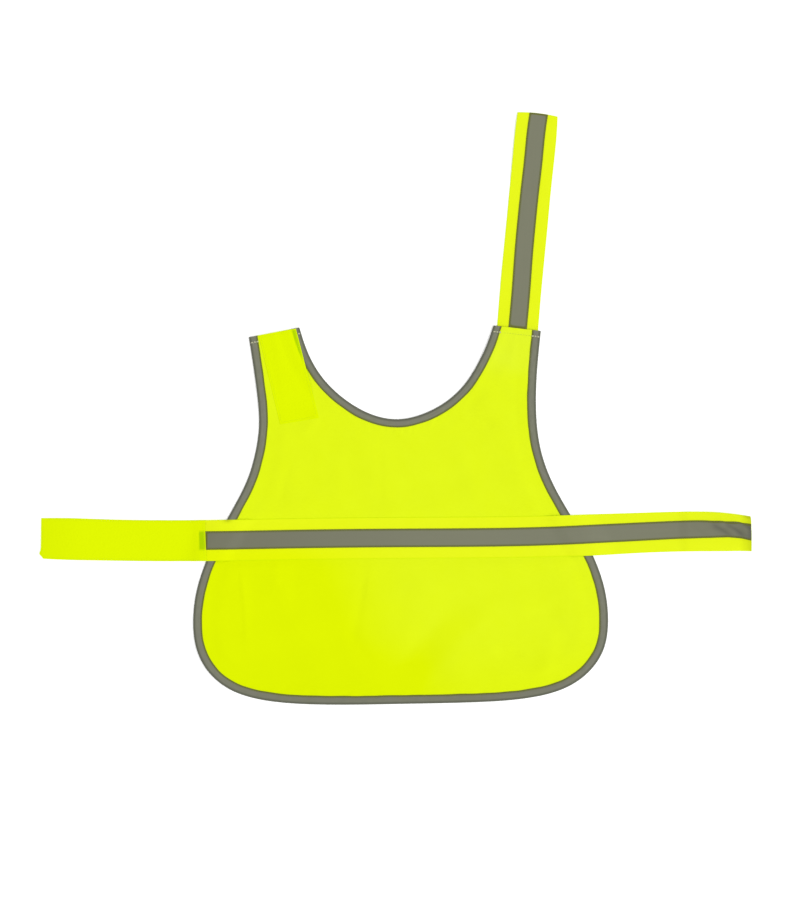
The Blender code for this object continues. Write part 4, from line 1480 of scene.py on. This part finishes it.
def rows_beside_edges(points, inset, wall, side=1):
    """Stitching a set distance inside both long edges of a grid, on its top, or its underside at -1."""
    up = grid_normals(points) * side
    top = points + up * (wall if side > 0 else 0)
    rows = []
    for first, second in ((0, 1), (-1, -2)):
        step = np.linalg.norm(top[:, second] - top[:, first], axis=1, keepdims=True)
        path = top[:, first] + (top[:, second] - top[:, first]) * inset / step
        rows.append(trimmed(Stitching(path, up[:, first]), inset))
    return rows


def rows_all_round(points, inset, wall, side=1):
    """Stitching beside all four edges of a grid."""
    turned = points.swapaxes(0, 1)[:, ::-1]
    return rows_beside_edges(points, inset, wall, side) + rows_beside_edges(turned, inset, wall, side)


# Each kind of layer on a band: its slot, its finish and, where it is sewn on, how: the name of its
# stitches, where they run, how far in, their thread, the side they show on (-1 below) and a thickness.
NOT_SEWN = (None, None, 0, None, 1, None)
Kind = namedtuple("Kind", "slot finish stitches rows inset thread side thickness", defaults=NOT_SEWN)
KINDS = {
    "cloth": Kind("yellow_strap", "strap_weave"),
    "tape": Kind(
        "reflective_tape", "glass_bead_tape", "tape_stitches", rows_beside_edges, TAPE_SEAM, "grey_thread"
    ),
    "loop_tape": Kind(
        "loop_tape", "looped_pile", "loop_stitches", rows_all_round, PATCH_SEAM, "loop_thread", 1, PILE_THREAD
    ),
    "hook_tape": Kind(
        "hook_tape", "hooked_nylon", "hook_stitches", rows_all_round, PATCH_SEAM, "yellow_thread", -1
    ),
}


def sewn_on(kind, name, points, wall, sizes, colours):
    """The stitches of a layer of this kind, on its top or, under hook tape, on its underside."""
    rows = kind.rows(points, kind.inset, wall, kind.side)
    made = stitches(name, rows, sizes, finish(kind.thread, colours), thickness=kind.thickness)
    return placed(made, kind.slot)


def layered_band(name, layers, sizes, colours):
    """Makes a band's layers from the cloth up, and then the stitches that hold each of them."""
    layers = [(layer, KINDS[layer.kind]) for layer in layers]
    pieces = []
    for layer, kind in layers:
        material = finish(kind.finish, colours)
        piece = sheet(f"{name}_{layer.kind}", layer.grid, layer.uv, material, sizes.wall, layer.marks)
        pieces.append(placed(piece, kind.slot, layer.node))
    for piece, (layer, kind) in zip(pieces, layers):
        if kind.rows:
            sewn_on(kind, f"{name}_{kind.stitches}", layer.grid, sizes.wall, sizes, colours)
        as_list(layer.rests_on)


ROW_POINTS = 30  # along each stretch of a row
OFF_BINDING = (-0.5, 1.5)  # past a binding's cut edge, the row comes down to the cloth from here to here


def tab_end_rows(sizes):
    """The row across each shoulder tab's end, on top of all there: on the bindings and on the yellow."""
    rows = {"binding": [], "cloth": []}
    for corner, way, down, spans in (
        (OUTER_CURVE[0], LEFT_END, DOWN_LEFT_TAB, LEFT_TAB_SPANS),
        (OUTER_CURVE[-1], RIGHT_END, DOWN_RIGHT_TAB, RIGHT_TAB_SPANS),
    ):
        for on, ends, shift in (
            (on, ends, shift) for on in spans for ends in spans[on] for shift in TAB_ROW_SHIFTS[on]
        ):
            along = np.linspace(*ends, ROW_POINTS)[:, None]
            level = corner + down * (TAB_ROW_DOWN + shift) + way * along
            past_binding = inside_panel(level) - BINDING_SHOWS["edge_tape"]
            on_binding = 1 - smooth_step(past_binding, *OFF_BINDING)
            height = panel_rise(level, sizes.layer) + sizes.wall + (sizes.layer + LEAF_ROOM) * on_binding
            up = np.tile([0.0, 0.0, 1.0], (len(level), 1))
            rows[on].append(Stitching(at_height(level, height), up))
    return rows


# Operators ------------------------------------------------------------------------------------------

EDGE_POINTS = {"edge_tape": 520, "neck_tape": 150}  # along each binding


class VEST_OT_panel(bpy.types.Operator):
    """Makes the bib-shaped panel and the grey tapes folded over its edges, with their stitches"""

    bl_idname = "vest.panel"
    bl_label = "Bound panel"

    def execute(self, context):
        sizes, colours = choices(context)
        panel = placed(body_panel(sizes, colours), "yellow_cloth", "body_panel")
        rows = []
        for name, node, stations_of, seed, flat in (
            ("edge_tape", "edge_binding", outer_stations, 1.0, (0.0217, 1.35)),
            ("neck_tape", "neck_binding", neck_stations, 6.0, (0.0205, 0.36)),
        ):
            edge = stations_of(np.linspace(0, 1, EDGE_POINTS[name]))
            tape, points = binding(name, edge, seed, sizes, colours)
            placed(tape, "grey_binding", node)
            rows.extend(seam_rows(points, BINDING_SHOWS[name], sizes))
        placed(stitches("binding_stitches", rows, sizes, finish("grey_thread", colours)), "grey_binding")
        ends = tab_end_rows(sizes)
        for name, on, colour, slot in (
            ("shoulder_stitches", "binding", "cream_thread", "grey_binding"),
            ("shoulder_stitches_on_cloth", "cloth", "pale_thread", "yellow_cloth"),
        ):
            material = finish(colour, colours)
            placed(stitches(name, ends[on], sizes, material, TAB_STITCH, TAB_THREADS[on]), slot)
        return {"FINISHED"}


class VEST_OT_shoulder_patch(bpy.types.Operator):
    """Makes the soft loop patch on the left shoulder, with its stitches"""

    bl_idname = "vest.shoulder_patch"
    bl_label = "Shoulder loop patch"

    def execute(self, context):
        sizes, colours = choices(context)
        patch, points = shoulder_patch(sizes, colours)
        placed(patch, "loop_tape", "shoulder_loop_patch")
        wall = PATCH_WALL * sizes.wall
        sewn = sewn_on(KINDS["loop_tape"], "shoulder_patch_stitches", points, wall, sizes, colours)
        return {"FINISHED"}


class VEST_OT_neck_strap(bpy.types.Operator):
    """Makes the neck strap with its reflective tape and hidden hook patch"""

    bl_idname = "vest.neck_strap"
    bl_label = "Neck strap"

    def execute(self, context):
        sizes, colours = choices(context)
        layered_band("strap", strap_layers(sizes), sizes, colours)
        return {"FINISHED"}


class VEST_OT_belt(bpy.types.Operator):
    """Makes the girth belt with its reflective tape, its loop patch and its hidden hook patch"""

    bl_idname = "vest.belt"
    bl_label = "Girth belt"

    def execute(self, context):
        sizes, colours = choices(context)
        layered_band("belt", belt_layers(sizes), sizes, colours)
        return {"FINISHED"}


TABLE_HALF = 20.0 / MM  # the table reaches this far each way, so that no view shows its end
TABLE_TOP = -0.25  # just below the lowest cloth
SENSOR = 36.0  # the camera's own width, in millimetres
FAR = 100.0  # nothing further than this is drawn, in metres
KEY_SPREAD = np.radians(50)  # the broad key light's width, and its turn about X and Y
KEY_TURN = (np.radians(9), np.radians(36), 0)


def table(colour):
    """The flat square that the vest lies on."""
    level = np.array([[-1, -1], [1, -1], [1, 1], [-1, 1]]) * TABLE_HALF
    corners = at_height(level, np.full(4, TABLE_TOP))
    mesh = mesh_from_arrays("table", corners, [np.arange(4)[None]])
    return linked("table", mesh, matt_floor("table", colour))


class VEST_OT_stage(bpy.types.Operator):
    """Makes the pale table, the lights and the camera above it"""

    bl_idname = "vest.stage"
    bl_label = "Table, lights and camera"

    def execute(self, context):
        scene = context.scene
        stage = scene.vest_stage
        table(stage.floor)
        world = bpy.data.worlds.new("soft_room")
        world.use_nodes = True
        background = world.node_tree.nodes["Background"]
        background.inputs["Color"].default_value = (1, 1, 1, 1)
        background.inputs["Strength"].default_value = stage.sky
        scene.world = world
        key = bpy.data.objects.new("key_light", bpy.data.lights.new("key_light", "SUN"))
        key.data.energy = stage.key
        key.data.angle = KEY_SPREAD
        key.rotation_euler = KEY_TURN
        scene.collection.objects.link(key)
        camera = bpy.data.objects.new("camera", bpy.data.cameras.new("camera"))
        camera.location = (*stage.view_centre, stage.camera_height)
        camera.data.sensor_fit = "AUTO"
        camera.data.sensor_width = SENSOR
        camera.data.lens = SENSOR * stage.camera_height / stage.view_height
        camera.data.clip_end = FAR
        scene.collection.objects.link(camera)
        scene.camera = camera
        scene.view_settings.view_transform = "Standard"
        scene.view_settings.look = "None"
        return {"FINISHED"}


OPERATORS = (VEST_OT_panel, VEST_OT_shoulder_patch, VEST_OT_neck_strap, VEST_OT_belt, VEST_OT_stage)


class VEST_PT_sidebar(bpy.types.Panel):
    """Lists the pieces of the vest, and its sizes and colours"""

    bl_label = "Safety vest"
    bl_idname = "VEST_PT_sidebar"
    bl_space_type = "VIEW_3D"
    bl_region_type = "UI"
    bl_category = "Safety vest"

    def draw(self, context):
        for made in OPERATORS:
            self.layout.operator(made.bl_idname)
        for group in (context.scene.vest_sizes, context.scene.vest_colours, context.scene.vest_stage):
            box = self.layout.box()
            for name in group.bl_rna.properties.keys():
                if name not in ("rna_type", "name"):
                    box.prop(group, name)


CLASSES = (VestSizes, VestColours, VestStage, *OPERATORS, VEST_PT_sidebar)


def register():
    """Adds the classes, and to each scene what a user can change."""
    for made in CLASSES:
        bpy.utils.register_class(made)
    bpy.types.Scene.vest_sizes = PointerProperty(type=VestSizes)
    bpy.types.Scene.vest_colours = PointerProperty(type=VestColours)
    bpy.types.Scene.vest_stage = PointerProperty(type=VestStage)


def unregister():
    """Takes away again what register adds."""
    del bpy.types.Scene.vest_stage
    del bpy.types.Scene.vest_colours
    del bpy.types.Scene.vest_sizes
    for made in reversed(CLASSES):
        bpy.utils.unregister_class(made)


def main():
    """Makes the vest and its stage."""
    register()
    bpy.ops.vest.panel()
    bpy.ops.vest.shoulder_patch()
    bpy.ops.vest.neck_strap()
    bpy.ops.vest.belt()
    bpy.ops.vest.stage()


if __name__ == "__main__":
    main()
